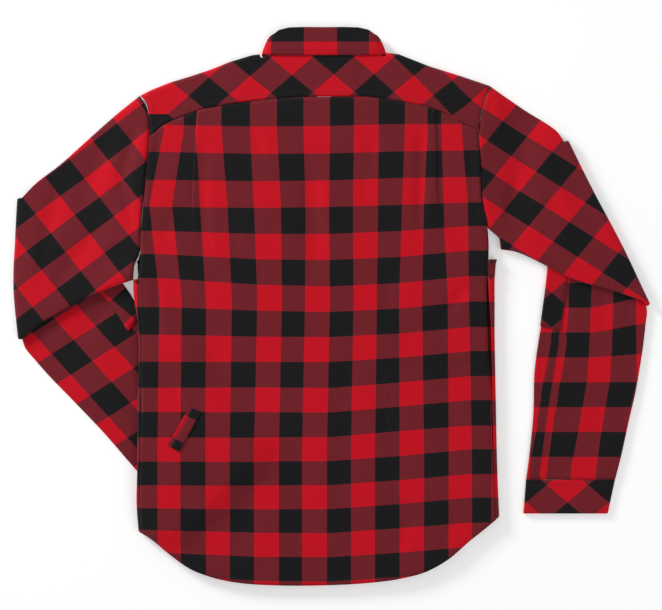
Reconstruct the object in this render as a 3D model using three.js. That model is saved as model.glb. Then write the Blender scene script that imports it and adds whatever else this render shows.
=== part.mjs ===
// A long-sleeved riding shirt, laid face down with both sleeves folded under at the elbow.
// Millimetres, +Z up. The shirt lies on z = 0, its neck towards +Y and its hem towards -Y.
// Every piece is a real wall of cloth: an outer surface worked out from the tables below,
// and an inner surface one cloth thickness behind it.
import * as THREE from 'three';

const { lerp, clamp, smoothstep, degToRad } = THREE.MathUtils;

// Driving dimensions
const CLOTH = 1.2;              // thickness of every cloth wall
const SEAM_GAP = 0.3;           // between two pieces at a seam
const BODY_HEIGHT = 12;         // from the outside of a front to the outside of the back
const EDGE_RADIUS = BODY_HEIGHT / 2;
const SLEEVE_HEIGHT = 5.8;      // the same, for a sleeve away from its armhole
const CREASE_TURNS = [0, 45, 90, 135, 180];   // a sleeve's rings round its elbow crease, in degrees
const FOLD_GAP = 2;             // between a forearm and the upper sleeve that lies on it
const CREASE_RADIUS = SLEEVE_HEIGHT + FOLD_GAP / 2;
const CENTRE_X = -22;           // the line of the front buttons
const LAP = 16;                 // each front's reach past that line
const BUTTON = { radius: 5.5, height: 2.2, count: 7, top: 228, spacing: 88 };
const CUFF_BUTTON = { radius: 5, height: 1.6, share: 0.3 };
const EYELET = { outer: 3.2, hole: 1.3, height: 0.8 };
const FRONT_GAP = 1.3;          // between a front and the yoke that comes over the shoulder to it
const STRIP_GAP = 1;            // between the back and the fronts that come round the edge to it
const LAID_ON = SEAM_GAP + CLOTH;   // from a panel to the outside of what lies on it

// Back side seam, armhole seam and outermost line of the body at each height
const LEFT_EDGE = [
  { y: -345, seam: -287, side: -290 },
  { y: -300, seam: -288, side: -293 },
  { y: -250, seam: -287.5, side: -292 },
  { y: -141, seam: -286.5, side: -291 },
  { y: -21, seam: -286, side: -291.5 },
  { y: 15, seam: -289, side: -297 },
  { y: 40, seam: -290.5, side: -298 },
  { y: 66, seam: -292, side: -298 },
  { y: 84, seam: -288, side: -298 },
  { y: 121, seam: -287, side: -298 },
  { y: 159, seam: -283, side: -298 },
  { y: 219, seam: -277, side: -298 },
  { y: 262, seam: -273, side: -298 },
  { y: 285, seam: -275, side: -298 },
  { y: 301, seam: -279, side: -298 },
  { y: 316, seam: -288, side: -298 },
];
const RIGHT_EDGE = [
  { y: -330, seam: 247, side: 252 },
  { y: -261, seam: 243, side: 249 },
  { y: -126, seam: 239.5, side: 246 },
  { y: -36, seam: 238, side: 244.5 },
  { y: 9, seam: 235, side: 244.5 },
  { y: 46, seam: 232.5, side: 245 },
  { y: 70, seam: 232, side: 248 },
  { y: 84, seam: 234, side: 254 },
  { y: 99, seam: 235, side: 254 },
  { y: 121, seam: 233, side: 254 },
  { y: 151, seam: 226, side: 254 },
  { y: 219, seam: 222, side: 254 },
  { y: 264, seam: 220, side: 254 },
  { y: 301, seam: 228, side: 254 },
  { y: 332, seam: 235, side: 254 },
];
const HEM = [
  { x: -292, y: -337 }, { x: -273, y: -348 }, { x: -243, y: -373 }, { x: -213, y: -394 },
  { x: -183, y: -406 }, { x: -123, y: -417 }, { x: -93, y: -418.5 }, { x: -3, y: -418.5 },
  { x: 57, y: -415 }, { x: 102, y: -409 }, { x: 147, y: -396 }, { x: 177, y: -378 },
  { x: 207, y: -352 }, { x: 237, y: -328 }, { x: 252, y: -315 },
];
const YOKE_SEAM = [
  { x: -273, y: 255 }, { x: -250, y: 273 }, { x: -228, y: 283 }, { x: -198, y: 294 },
  { x: -123, y: 307 }, { x: -3, y: 313.5 }, { x: 57, y: 313 }, { x: 102, y: 307 },
  { x: 162, y: 292 }, { x: 192, y: 276 }, { x: 219, y: 264 },
];
const SHOULDER = [
  { x: -288, y: 316 }, { x: -273, y: 324 }, { x: -243, y: 336 }, { x: -213, y: 345 },
  { x: -183, y: 355 }, { x: -153, y: 367 }, { x: -120, y: 378 }, { x: -106, y: 378.5 },
  { x: 82, y: 380.5 }, { x: 100, y: 378.5 }, { x: 147, y: 360 }, { x: 192, y: 346 }, { x: 235, y: 331.5 },
];
const FRONT_TOP = [
  { x: -285, y: 286 }, { x: -243, y: 306 }, { x: -183, y: 325 }, { x: -120, y: 345 },
  { x: -104, y: 348 }, { x: -96, y: 333 }, { x: -78, y: 313 }, { x: -52, y: 300 }, { x: -22, y: 296 },
  { x: 28, y: 302 }, { x: 54, y: 314 }, { x: 72, y: 334 }, { x: 80, y: 350 }, { x: 100, y: 348 },
  { x: 147, y: 330 }, { x: 192, y: 316 }, { x: 232, y: 302 },
];
const YOKE_FRONT_DROP = 30;     // the yoke's reach over the shoulder, down to the front seam
const NECK = { left: -106, right: 82, y: 384 };

// Heights of the rows of the body panels at the two sides; the armpit row ends the side strips
const ROWS = [
  { left: -337, right: -315 }, { left: -300, right: -290 }, { left: -252, right: -250 },
  { left: -205, right: -205 }, { left: -155, right: -155 }, { left: -105, right: -105 },
  { left: -55, right: -55 }, { left: -15, right: -15 }, { left: 15, right: 20 },
  { left: 40, right: 50 }, { left: 63, right: 70 }, { left: 84, right: 84 },
  { left: 105, right: 101 }, { left: 135, right: 130 }, { left: 165, right: 165 },
  { left: 195, right: 200 }, { left: 225, right: 232 }, { left: 255, right: 264 },
];
const ARMPIT_ROW = { left: 9, right: 10 };

// Columns across the back panel and the yoke, from the left armhole to the right one
const SHARES = [
  0, 0.035, 0.075, 0.11, 0.145, 0.19, 0.25, 0.345, 0.4, 0.455, 0.49,
  0.525, 0.59, 0.65, 0.7075, 0.77, 0.82, 0.868, 0.905, 0.94, 0.97, 1,
];
const NECK_COLUMNS = { first: 7, last: 14 };

// Knife pleats below the yoke: the middle of the back lies over the sides
const PLEATS = [{ column: 4, facing: -1 }, { column: 17, facing: 1 }];
const PLEAT = { depth: 12, step: 3, spread: 2.5, fullRow: 14, openRow: 12 };

// Large soft folds of the back: a trough along a line, deepest in the middle of its length
const TROUGHS = [
  { x0: -34, y0: 225, x1: -26, y1: 40, width: 20, depth: 2.6 },
  { x0: 134, y0: 265, x1: 132, y1: 90, width: 14, depth: 2.6 },
  { x0: -185, y0: 225, x1: -190, y1: 30, width: 16, depth: 2 },
  { x0: 207, y0: 40, x1: 150, y1: -40, width: 18, depth: 2 },
  { x0: -95, y0: -180, x1: -60, y1: -330, width: 26, depth: 1.6 },
  { x0: 40, y0: -150, x1: 20, y1: -330, width: 28, depth: 1.5 },
];

// Upper sleeves from the armhole to the crease: the line over the arm and the line under it
const RIGHT_UPPER = [
  { overX: 235.4, overY: 331.5, underX: 254, underY: 85 },
  { overX: 265, overY: 311, underX: 280, underY: 80 },
  { overX: 292, overY: 293, underX: 318, underY: 62 },
  { overX: 316, overY: 278, underX: 362, underY: 40 },
  { overX: 337, overY: 262, underX: 415, underY: 25 },
];
const LEFT_UPPER = [
  { overX: -288.4, overY: 316, underX: -298.4, underY: 39 },
  { overX: -325, overY: 287, underX: -332, underY: 27 },
  { overX: -365, overY: 252, underX: -370, underY: 11 },
  { overX: -405, overY: 216, underX: -408, underY: -9 },
  { overX: -440, overY: 188, underX: -442, underY: -29 },
];
// Creases at the elbows, as outermost lines, with their bulge past a straight line
const RIGHT_CREASE = { overX: 354, overY: 249, underX: 479, underY: 3, bulge: 1 };
const LEFT_CREASE = { overX: -472, overY: 162, underX: -472.5, underY: -50, bulge: 6 };
// Forearms from the crease to the cuff seam
const RIGHT_FOREARM = [
  { overX: 337, overY: 185, underX: 474, underY: -10 },
  { overX: 330, overY: 115, underX: 472, underY: -26 },
  { overX: 324, overY: 45, underX: 470, underY: -45 },
  { overX: 315, overY: -25, underX: 466, underY: -75 },
  { overX: 305, overY: -95, underX: 457, underY: -128 },
  { overX: 303, overY: -160, underX: 446, underY: -176 },
  { overX: 298, overY: -215, underX: 436, underY: -222 },
  { overX: 292, overY: -261, underX: 426, underY: -261 },
];
const LEFT_FOREARM = [
  { overX: -425, overY: 128, underX: -461, underY: -64 },
  { overX: -375, overY: 87, underX: -447, underY: -81 },
  { overX: -318, overY: 36, underX: -423, underY: -108 },
  { overX: -285, overY: -16, underX: -385, underY: -147 },
  { overX: -250, overY: -68, underX: -345, underY: -189 },
  { overX: -212, overY: -125, underX: -305, underY: -235 },
  { overX: -176, overY: -183, underX: -273, underY: -272 },
];
const RIGHT_CUFF_END = { overX: 288, overY: -312, underX: 415, underY: -312 };
const LEFT_CUFF_END = { overX: -143, overY: -222, underX: -240, underY: -311 };
const PATCH_ROWS = [1, 2, 3];   // rows of each forearm that the elbow patch covers

// Collar, from the middle of the back round one side to the middle of the front.
// turn is the angle about the neck's side; x is the distance from the collar's middle.
const COLLAR_X = -12;
const COLLAR_HALF_WIDTH = [
  { y: 380, half: 93 }, { y: 396, half: 87 }, { y: 406, half: 81 }, { y: 414, half: 74 },
];
const COLLAR = [
  { turn: 0, x: 0, fold: 418.1, edgeX: 0, edge: 376, base: 384.4 },
  { turn: 0, x: 28, fold: 418.5, edgeX: 28, edge: 376, base: 384.4 },
  { turn: 0, x: 52, fold: 417.8, edgeX: 54, edge: 376, base: 384.4 },
  { turn: 0, x: 68, fold: 414, edgeX: 74, edge: 376.5, base: 384.4 },
  { turn: 30, x: null, fold: 409, edgeX: null, edge: 377, base: 384.4 },
  { turn: 90, x: null, fold: 405, edgeX: null, edge: 378, base: 383 },
  { turn: 150, x: null, fold: 401, edgeX: null, edge: 372, base: 346 },
  { turn: 180, x: 70, fold: 384, edgeX: 84, edge: 335, base: 328 },
  { turn: 180, x: 54, fold: 358, edgeX: 78, edge: 292, base: 317 },
  { turn: 180, x: 34, fold: 340, edgeX: 66, edge: 262, base: 305 },
  { turn: 180, x: 11, fold: 331, edgeX: 50, edge: 275, base: 298.5 },
];
const COLLAR_MIDDLE_Z = 7;
const LEAF_RADIUS = 7;          // outside of the leaf from the collar's middle plane
const STAND_RADIUS = 3.9;       // outside of the stand from the same plane

const WELT = [
  { x: -245, y: -208 }, { x: -228.5, y: -218 }, { x: -195.5, y: -158 }, { x: -213.5, y: -150.5 },
];
const POCKET = [
  { x: 91, y: -296 }, { x: 239, y: -284 }, { x: 235, y: -84 }, { x: 81, y: -97 },
];
const EYELETS = [
  { name: 'left_upper', x: -288.5, y: 66 }, { name: 'left_lower', x: -292.5, y: 36 },
  { name: 'right_upper', x: 240, y: 63 }, { name: 'right_lower', x: 239.5, y: 42 },
];

// Finishes
const CHECK_CLOTH = { color: 0x8c1522, roughness: 0.9, metalness: 0 };
const DARK_CLOTH = { color: 0x2a1418, roughness: 0.9, metalness: 0 };
const BLACK_METAL = { color: 0x101012, roughness: 0.35, metalness: 0.9 };
const BUTTON_RESIN = { color: 0x151314, roughness: 0.4, metalness: 0 };

const shirt = new THREE.Group();

function addPiece(name, geometry, finish) {
  const piece = new THREE.Mesh(geometry, new THREE.MeshStandardMaterial(finish));
  piece.name = name;
  shirt.add(piece);
  return piece;
}

// Value of one column of a table at a place given in another column
function lookUp(table, key, place, column) {
  const next = table.findIndex((row) => row[key] >= place);
  if (next === 0) return table[0][column];
  if (next < 0) return table[table.length - 1][column];
  const share = (place - table[next - 1][key]) / (table[next][key] - table[next - 1][key]);
  return lerp(table[next - 1][column], table[next][column], share);
}

// ---- Walls ----

function surfaceNormals(rows, ring, hasCell) {
  const across = rows[0].length;
  const normals = rows.map((row) => row.map(() => new THREE.Vector3()));
  for (let r = 0; r < rows.length - 1; r += 1) {
    for (let c = 0; c < (ring ? across : across - 1); c += 1) {
      if (!hasCell(r, c)) continue;
      const d = (c + 1) % across;
      const rising = rows[r + 1][d].clone().sub(rows[r][c]);
      const falling = rows[r + 1][c].clone().sub(rows[r][d]);
      const normal = rising.cross(falling);
      for (const corner of [normals[r][c], normals[r][d], normals[r + 1][c], normals[r + 1][d]]) {
        corner.add(normal);
      }
    }
  }
  for (const row of normals) {
    for (const normal of row) normal.normalize();
  }
  return normals;
}

// A closed wall from a grid of points on its outer surface. The outside is on the side of
// (next column) x (next row), or on the other side if the wall is flipped.
function wall(rows, { ring = false, keep = () => true, flipped = false, thickness = CLOTH } = {}) {
  const across = rows[0].length;
  const cells = ring ? across : across - 1;
  const wrap = (c) => (c + cells) % cells;
  const hasCell = (r, c) => {
    if (r < 0 || r >= rows.length - 1) return false;
    if (!ring && (c < 0 || c >= cells)) return false;
    return keep(r, ring ? wrap(c) : c);
  };
  const normals = surfaceNormals(rows, ring, hasCell);
  const outside = (r, c) => rows[r][c];
  const depth = flipped ? thickness : -thickness;
  const inside = (r, c) => rows[r][c].clone().addScaledVector(normals[r][c], depth);
  const corners = [];
  const addQuad = (a, b, c, d) => {
    const order = flipped ? [a, c, b, a, d, c] : [a, b, c, a, c, d];
    for (const point of order) corners.push(point.x, point.y, point.z);
  };
  for (let r = 0; r < rows.length - 1; r += 1) {
    for (let c = 0; c < cells; c += 1) {
      if (!hasCell(r, c)) continue;
      const d = (c + 1) % across;
      const loop = [[r, c], [r, d], [r + 1, d], [r + 1, c]];
      addQuad(...loop.map(([i, j]) => outside(i, j)));
      addQuad(...loop.map(([i, j]) => inside(i, j)).reverse());
      const neighbours = [hasCell(r - 1, c), hasCell(r, c + 1), hasCell(r + 1, c), hasCell(r, c - 1)];
      neighbours.forEach((present, side) => {
        if (present) return;
        const from = loop[side];
        const to = loop[(side + 1) % 4];
        addQuad(inside(...from), inside(...to), outside(...to), outside(...from));
      });
    }
  }
  const geometry = new THREE.BufferGeometry();
  geometry.setAttribute('position', new THREE.Float32BufferAttribute(corners, 3));
  geometry.computeVertexNormals();
  return geometry;
}

// ---- Heights of the laid cloth ----

function distanceOutside(x, y, outline) {
  let nearest = Infinity;
  let within = false;
  outline.forEach((from, index) => {
    const to = outline[(index + 1) % outline.length];
    const runX = to.x - from.x;
    const runY = to.y - from.y;
    const share = clamp(((x - from.x) * runX + (y - from.y) * runY) / (runX ** 2 + runY ** 2), 0, 1);
    nearest = Math.min(nearest, Math.hypot(x - from.x - share * runX, y - from.y - share * runY));
    const crosses = (from.y > y) !== (to.y > y);
    if (crosses && x < from.x + ((y - from.y) * runX) / runY) within = !within;
  });
  return within ? 0 : nearest;
}

// 1 over an outline and its margin, falling smoothly to 0 within the reach beyond
function hump(x, y, outline, margin, reach) {
  return 1 - smoothstep(distanceOutside(x, y, outline) - margin, 0, reach);
}

function sleeveOutline(crease, forearm, cuffEnd) {
  const stations = [crease, ...forearm, cuffEnd];
  const over = stations.map((row) => ({ x: row.overX, y: row.overY }));
  const under = stations.map((row) => ({ x: row.underX, y: row.underY }));
  return [...over, ...under.reverse()];
}

const LEFT_FOREARM_OUTLINE = sleeveOutline(LEFT_CREASE, LEFT_FOREARM, LEFT_CUFF_END);
const RIGHT_FOREARM_OUTLINE = sleeveOutline(RIGHT_CREASE, RIGHT_FOREARM, RIGHT_CUFF_END);
const COLLAR_OUTLINE = [
  { x: -98, y: 372 }, { x: -90, y: 290 }, { x: -78, y: 262 }, { x: -62, y: 262 },
  { x: 38, y: 262 }, { x: 54, y: 262 }, { x: 66, y: 290 }, { x: 74, y: 372 },
];

// How far a folded forearm lifts what lies on it
function armLift(x, y) {
  const left = hump(x, y, LEFT_FOREARM_OUTLINE, 18, 46);
  const right = x > 256 ? hump(x, y, RIGHT_FOREARM_OUTLINE, 18, 46) : 0;
  return (SLEEVE_HEIGHT + FOLD_GAP) * Math.max(left, right);
}

// The collar's front leaf lies under the fronts
function frontLift(x, y) {
  const overCollar = (CLOTH + 1.4) * hump(x, y, COLLAR_OUTLINE, 10, 36);
  return Math.max(armLift(x, y), overCollar);
}

function troughDepth(x, y) {
  let depth = 0;
  for (const fold of TROUGHS) {
    const runX = fold.x1 - fold.x0;
    const runY = fold.y1 - fold.y0;
    const share = ((x - fold.x0) * runX + (y - fold.y0) * runY) / (runX ** 2 + runY ** 2);
    const ends = smoothstep(share, -0.1, 0.25) * (1 - smoothstep(share, 0.7, 1.15));
    const off = Math.hypot(x - fold.x0 - share * runX, y - fold.y0 - share * runY) / fold.width;
    depth += fold.depth * ends * Math.exp(-off * off);
  }
  return depth;
}

// A point of the rounded edge of the body, an arc distance from its outermost line
function aroundEdge(arc, radius) {
  const turn = clamp(arc / radius, -Math.PI / 2, Math.PI / 2);
  const beyond = Math.max(0, Math.abs(arc) - (radius * Math.PI) / 2);
  return { inset: radius * (1 - Math.cos(turn)) + beyond, height: radius * (1 + Math.sin(turn)) };
}

// Arc distance at which the rounded edge reaches an inset
function arcAtInset(inset, radius) {
  if (inset >= radius) return (radius * Math.PI) / 2 + inset - radius;
  return radius * Math.acos(1 - inset / radius);
}

function backHeight(x, y) {
  const leftInset = x - lookUp(LEFT_EDGE, 'y', y, 'side');
  const rightInset = lookUp(RIGHT_EDGE, 'y', y, 'side') - x;
  const inset = clamp(Math.min(leftInset, rightInset), 0, EDGE_RADIUS);
  const shoulderWidth = Math.sqrt(EDGE_RADIUS ** 2 - (EDGE_RADIUS - inset) ** 2);
  return armLift(x, y) + EDGE_RADIUS + shoulderWidth - troughDepth(x, y);
}

// ---- Back panel ----

function pleatStrength(row) {
  return smoothstep(row, PLEAT.openRow, PLEAT.fullRow);
}

// Columns across the back: plain ones, and five for each pleat
function backColumns() {
  return SHARES.flatMap((share, index) => {
    const pleat = PLEATS.find((each) => each.column === index);
    if (!pleat) return [{ share }];
    const points = pleat.facing < 0 ? [0, 1, 2, 3, 4] : [4, 3, 2, 1, 0];
    return points.map((point) => ({ share, pleat, point }));
  });
}

// Place of a pleat's five points, from the side cloth, round the hidden fold, to the top fold
function pleatPoint(column, strength) {
  const flat = (column.point - 2) * PLEAT.spread;
  const under = [PLEAT.depth, PLEAT.depth, 0, -0.8, 0.4][column.point];
  const heights = [0, SEAM_GAP, SEAM_GAP, PLEAT.step / 2, PLEAT.step][column.point];
  return {
    x: -column.pleat.facing * lerp(flat, under, strength),
    z: lerp(0, heights - 2, strength),
  };
}

function backRows() {
  const columns = backColumns();
  const first = ROWS[0];
  const last = ROWS[ROWS.length - 1];
  return ROWS.map((row, index) => {
    const left = lookUp(LEFT_EDGE, 'y', row.left, 'seam');
    const right = lookUp(RIGHT_EDGE, 'y', row.right, 'seam');
    return columns.map((column) => {
      const offset = column.pleat ? pleatPoint(column, pleatStrength(index)) : { x: 0, z: 0 };
      const x = lerp(left, right, column.share) + offset.x;
      const upLeft = (row.left - first.left) / (last.left - first.left);
      const upRight = (row.right - first.right) / (last.right - first.right);
      const up = lerp(upLeft, upRight, column.share);
      const y = lerp(lookUp(HEM, 'x', x, 'y'), lookUp(YOKE_SEAM, 'x', x, 'y'), up);
      return new THREE.Vector3(x, y, backHeight(x, y) + offset.z);
    });
  });
}

// ---- Fronts ----

function frontRidge(x) {
  return 1 - smoothstep(Math.abs(x - CENTRE_X), LAP + 2, LAP + 34);
}

function frontHeight(x, y, overlap) {
  const ridge = overlap * frontRidge(x);
  return Math.max(frontLift(x, y), ridge) + (overlap > 3 ? CLOTH * 0.01 * ridge : 0);
}

// One front, from its side seam on the back side, round the edge, to past the middle
function frontRows(hand) {
  const edges = hand === 'left' ? LEFT_EDGE : RIGHT_EDGE;
  const inward = hand === 'left' ? 1 : -1;
  const overlap = hand === 'left' ? BUTTON.height + SEAM_GAP : BUTTON.height + LAID_ON + SEAM_GAP;
  const middle = CENTRE_X + inward * LAP;
  const armpit = ARMPIT_ROW[hand];
  const topSide = hand === 'left' ? 286 : 302;
  const sideHeights = [...ROWS.map((row) => row[hand]), topSide];
  const flatShares = [0, 0.12, 0.26, 0.4, 0.54, 0.66, 0.77, 0.86, 0.93, 1];
  const rows = sideHeights.map((sideY, index) => {
    const outermost = lookUp(edges, 'y', sideY, 'side');
    const seam = lookUp(edges, 'y', sideY, 'seam');
    const armhole = index > armpit;
    const start = armhole ? seam : outermost + inward * EDGE_RADIUS;
    const up = (sideY - sideHeights[0]) / (topSide - sideHeights[0]);
    const strip = [];
    const seamArc = arcAtInset(Math.abs(seam - outermost), EDGE_RADIUS) - STRIP_GAP;
    for (let step = 4; step >= 1; step -= 1) {
      const arc = lerp((-EDGE_RADIUS * Math.PI) / 2, seamArc, step / 4);
      const edge = aroundEdge(arc, EDGE_RADIUS);
      const x = outermost + inward * edge.inset;
      const y = index === 0 ? lookUp(HEM, 'x', x, 'y') : sideY;
      strip.push(new THREE.Vector3(x, y, edge.height + armLift(x, y)));
    }
    const flat = flatShares.map((share) => {
      const x = lerp(start, middle, share);
      const y = lerp(lookUp(HEM, 'x', x, 'y'), lookUp(FRONT_TOP, 'x', x, 'y') - FRONT_GAP, up);
      return new THREE.Vector3(x, y, frontHeight(x, y, overlap));
    });
    return [...strip, ...flat];
  });
  return { rows, armpit };
}

function addFront(hand) {
  const { rows, armpit } = frontRows(hand);
  const keep = (r, c) => c >= 4 || r < armpit;
  const flipped = hand === 'left';
  addPiece(`front_${hand}`, wall(rows, { keep, flipped }), CHECK_CLOTH);
}

// ---- Yoke ----

function yokeRows() {
  const rows = [];
  const backSteps = [0, 0.25, 0.5, 0.75, 1];
  const arcs = [0.5, 0, -0.5, -1].map((part) => (part * EDGE_RADIUS * Math.PI) / 2);
  const column = (share, row) => {
    const below = row.onBack ? EDGE_RADIUS : aroundEdge(row.arc, EDGE_RADIUS).inset + row.drop;
    const leftY = row.onBack ? lerp(255, 316 - below, row.step) : 316 - below;
    const rightY = row.onBack ? lerp(264, 331.5 - below, row.step) : 331.5 - below;
    const left = lookUp(LEFT_EDGE, 'y', leftY, 'seam');
    const right = lookUp(RIGHT_EDGE, 'y', rightY, 'seam');
    const x = lerp(left, right, share);
    const shoulder = lookUp(SHOULDER, 'x', x, 'y');
    if (row.onBack) {
      const seamY = lookUp(YOKE_SEAM, 'x', x, 'y') + 2 * SEAM_GAP;
      const atNeck = x > NECK.left + 8 && x < NECK.right - 8;
      const y = lerp(seamY, atNeck ? NECK.y : shoulder - EDGE_RADIUS, row.step);
      return new THREE.Vector3(x, y, BODY_HEIGHT);
    }
    const edge = aroundEdge(row.arc, EDGE_RADIUS);
    const y = shoulder - edge.inset - row.drop;
    const lift = row.drop > 0 ? frontLift(x, y) : 0;
    return new THREE.Vector3(x, y, edge.height + lift);
  };
  for (const step of backSteps) rows.push(SHARES.map((share) => column(share, { onBack: true, step })));
  for (const arc of arcs) rows.push(SHARES.map((share) => column(share, { arc, drop: 0 })));
  for (const drop of [(YOKE_FRONT_DROP - EDGE_RADIUS) / 2, YOKE_FRONT_DROP - EDGE_RADIUS]) {
    rows.push(SHARES.map((share) => column(share, { arc: arcs[3], drop })));
  }
  const keep = (r, c) => r < backSteps.length - 1 || c < NECK_COLUMNS.first || c >= NECK_COLUMNS.last;
  return { rows, keep };
}

// ---- Sleeves ----

// One ring round a flattened sleeve: along its top from the over line to the under line,
// and back along its bottom. up is the direction from the bottom to the top layer.
function sleeveRing(pointAt, up, low, high) {
  const length = pointAt(0).distanceTo(pointAt(1));
  const half = (high(0.5) - low(0.5)) / 2;
  const edge = half / length;
  const inner = [0, 1, 2, 3, 4, 5].map((step) => lerp(edge, 1 - edge, step / 5));
  const shares = [0.28 * edge, ...inner, 1 - 0.28 * edge];
  const place = (share, side) => {
    const fromEdge = Math.min(share, 1 - share) / edge;
    const round = fromEdge < 1 ? Math.sqrt(1 - (1 - fromEdge) ** 2) : 1;
    const middle = (low(share) + high(share)) / 2;
    const reach = ((high(share) - low(share)) / 2) * round * side;
    return pointAt(share).addScaledVector(up, middle + reach);
  };
  const top = shares.map((share) => place(share, 1));
  const bottom = shares.map((share) => place(share, -1)).reverse();
  return [place(0, 0), ...top, place(1, 0), ...bottom];
}

function lineBetween(row) {
  return (share) => new THREE.Vector3(
    lerp(row.overX, row.underX, share),
    lerp(row.overY, row.underY, share),
    0,
  );
}

function sleeveRings(hand) {
  const right = hand === 'right';
  const upper = right ? RIGHT_UPPER : LEFT_UPPER;
  const forearm = right ? RIGHT_FOREARM : LEFT_FOREARM;
  const crease = right ? RIGHT_CREASE : LEFT_CREASE;
  const edges = right ? RIGHT_EDGE : LEFT_EDGE;
  const outward = right ? 1 : -1;
  const vertical = new THREE.Vector3(0, 0, 1);
  const rings = [];

  upper.forEach((row, index) => {
    const straight = lineBetween(row);
    const settle = 1 - index / upper.length;
    const pointAt = (share) => {
      const point = straight(share);
      const mouth = lineBetween(upper[0])(share);
      const seam = lookUp(edges, 'y', mouth.y, 'seam') + outward * 3 * SEAM_GAP;
      const bow = share > 0.93 ? 0 : seam - mouth.x;
      point.x += bow * settle ** 1.5;
      return point;
    };
    const height = lerp(BODY_HEIGHT, SLEEVE_HEIGHT, smoothstep(index, 0, 2.2));
    const low = (share) => {
      const point = pointAt(share);
      return armLift(point.x, point.y);
    };
    rings.push(sleeveRing(pointAt, vertical, low, (share) => low(share) + height));
  });

  const run = new THREE.Vector3(crease.underX - crease.overX, crease.underY - crease.overY, 0).normalize();
  const away = new THREE.Vector3(-run.y * outward, run.x * outward, 0);
  if (away.x * outward < 0) away.negate();
  const creasePoint = (share) => {
    const bulge = crease.bulge * Math.sin(Math.PI * share) - CREASE_RADIUS;
    const point = lineBetween(crease)(share).addScaledVector(away, bulge);
    point.z = CREASE_RADIUS;
    return point;
  };
  for (const degrees of CREASE_TURNS) {
    const turn = degToRad(degrees);
    const up = vertical.clone().multiplyScalar(Math.cos(turn)).addScaledVector(away, Math.sin(turn));
    rings.push(sleeveRing(creasePoint, up, () => FOLD_GAP / 2, () => CREASE_RADIUS));
  }

  const down = new THREE.Vector3(0, 0, -1);
  forearm.forEach((row, index) => {
    const pointAt = (share) => {
      const point = lineBetween(row)(share);
      point.z = CREASE_RADIUS;
      return point;
    };
    const patched = PATCH_ROWS.includes(index);
    const high = (share) => CREASE_RADIUS - (patched && share < 0.3 ? LAID_ON : 0);
    rings.push(sleeveRing(pointAt, down, () => FOLD_GAP / 2, high));
  });
  return rings;
}

function cuffRings(hand) {
  const forearm = hand === 'right' ? RIGHT_FOREARM : LEFT_FOREARM;
  const end = hand === 'right' ? RIGHT_CUFF_END : LEFT_CUFF_END;
  const start = forearm[forearm.length - 1];
  const down = new THREE.Vector3(0, 0, -1);
  const lengthOver = Math.hypot(end.overX - start.overX, end.overY - start.overY);
  return [SEAM_GAP / lengthOver, 0.5, 1].map((along) => {
    const row = {};
    for (const key of ['overX', 'overY', 'underX', 'underY']) row[key] = lerp(start[key], end[key], along);
    const pointAt = (share) => {
      const point = lineBetween(row)(share);
      point.z = CREASE_RADIUS;
      return point;
    };
    const overButton = (share) => Math.abs(share - CUFF_BUTTON.share) < 0.14;
    const high = (share) => CREASE_RADIUS - (overButton(share) ? CUFF_BUTTON.height + SEAM_GAP : 0);
    return sleeveRing(pointAt, down, () => FOLD_GAP / 2, high);
  });
}

function addCuffButton(hand, cuff) {
  const button = addPiece(
    `cuff_button_${hand}`,
    buttonGeometry(CUFF_BUTTON.radius, CUFF_BUTTON.height),
    BUTTON_RESIN,
  );
  const [over, under] = [cuff[1][0], cuff[1][cuff[1].length / 2]];
  const place = over.clone().lerp(under, CUFF_BUTTON.share);
  button.position.set(place.x, place.y, 0);
}

// A closed tube faces out when its first ring's normals point away from its middle
function facesIn(rings) {
  const normals = surfaceNormals(rings, true, () => true);
  const middle = rings[0].reduce((sum, point) => sum.add(point), new THREE.Vector3());
  middle.divideScalar(rings[0].length);
  const spread = rings[0].map((point, index) => point.clone().sub(middle).dot(normals[0][index]));
  return spread.reduce((sum, value) => sum + value, 0) < 0;
}

function addSleeve(hand) {
  const rings = sleeveRings(hand);
  const flipped = facesIn(rings);
  addPiece(`sleeve_${hand}`, wall(rings, { ring: true, flipped }), CHECK_CLOTH);
  const cuff = cuffRings(hand);
  addPiece(`cuff_${hand}`, wall(cuff, { ring: true, flipped: facesIn(cuff) }), CHECK_CLOTH);
  addCuffButton(hand, cuff);
  addElbowPatch(hand, rings, flipped);
}

// The patch lies on the sleeve, round its over line: the same points, moved out
function addElbowPatch(hand, rings, flipped) {
  const normals = surfaceNormals(rings, true, () => true);
  const count = rings[0].length;
  const columns = [count - 3, count - 2, count - 1, 0, 1, 2, 3].map((index) => index % count);
  const outward = flipped ? -1 : 1;
  const firstForearm = RIGHT_UPPER.length + CREASE_TURNS.length;
  const rows = PATCH_ROWS.map((step) => columns.map((index) => {
    const ring = firstForearm + step;
    return rings[ring][index].clone().addScaledVector(normals[ring][index], outward * LAID_ON);
  }));
  addPiece(`elbow_patch_${hand}`, wall(rows, { flipped }), CHECK_CLOTH);
}

// ---- Collar ----

function collarPlace(row, radius, y, x, hand) {
  const half = lookUp(COLLAR_HALF_WIDTH, 'y', y, 'half');
  const turn = degToRad(row.turn);
  const fromMiddle = x === null ? half - LEAF_RADIUS + radius * Math.sin(turn) : x;
  return new THREE.Vector3(
    COLLAR_X + hand * fromMiddle,
    y,
    COLLAR_MIDDLE_Z + radius * Math.cos(turn),
  );
}

// Both halves of the collar as columns, from the left front round the back to the right front
function collarColumns(columnOf) {
  const left = COLLAR.map((row) => columnOf(row, -1)).reverse();
  const right = COLLAR.slice(1).map((row) => columnOf(row, 1));
  return [...left, ...right];
}

function columnsToRows(columns) {
  return columns[0].map((_, index) => columns.map((column) => column[index]));
}

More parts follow.
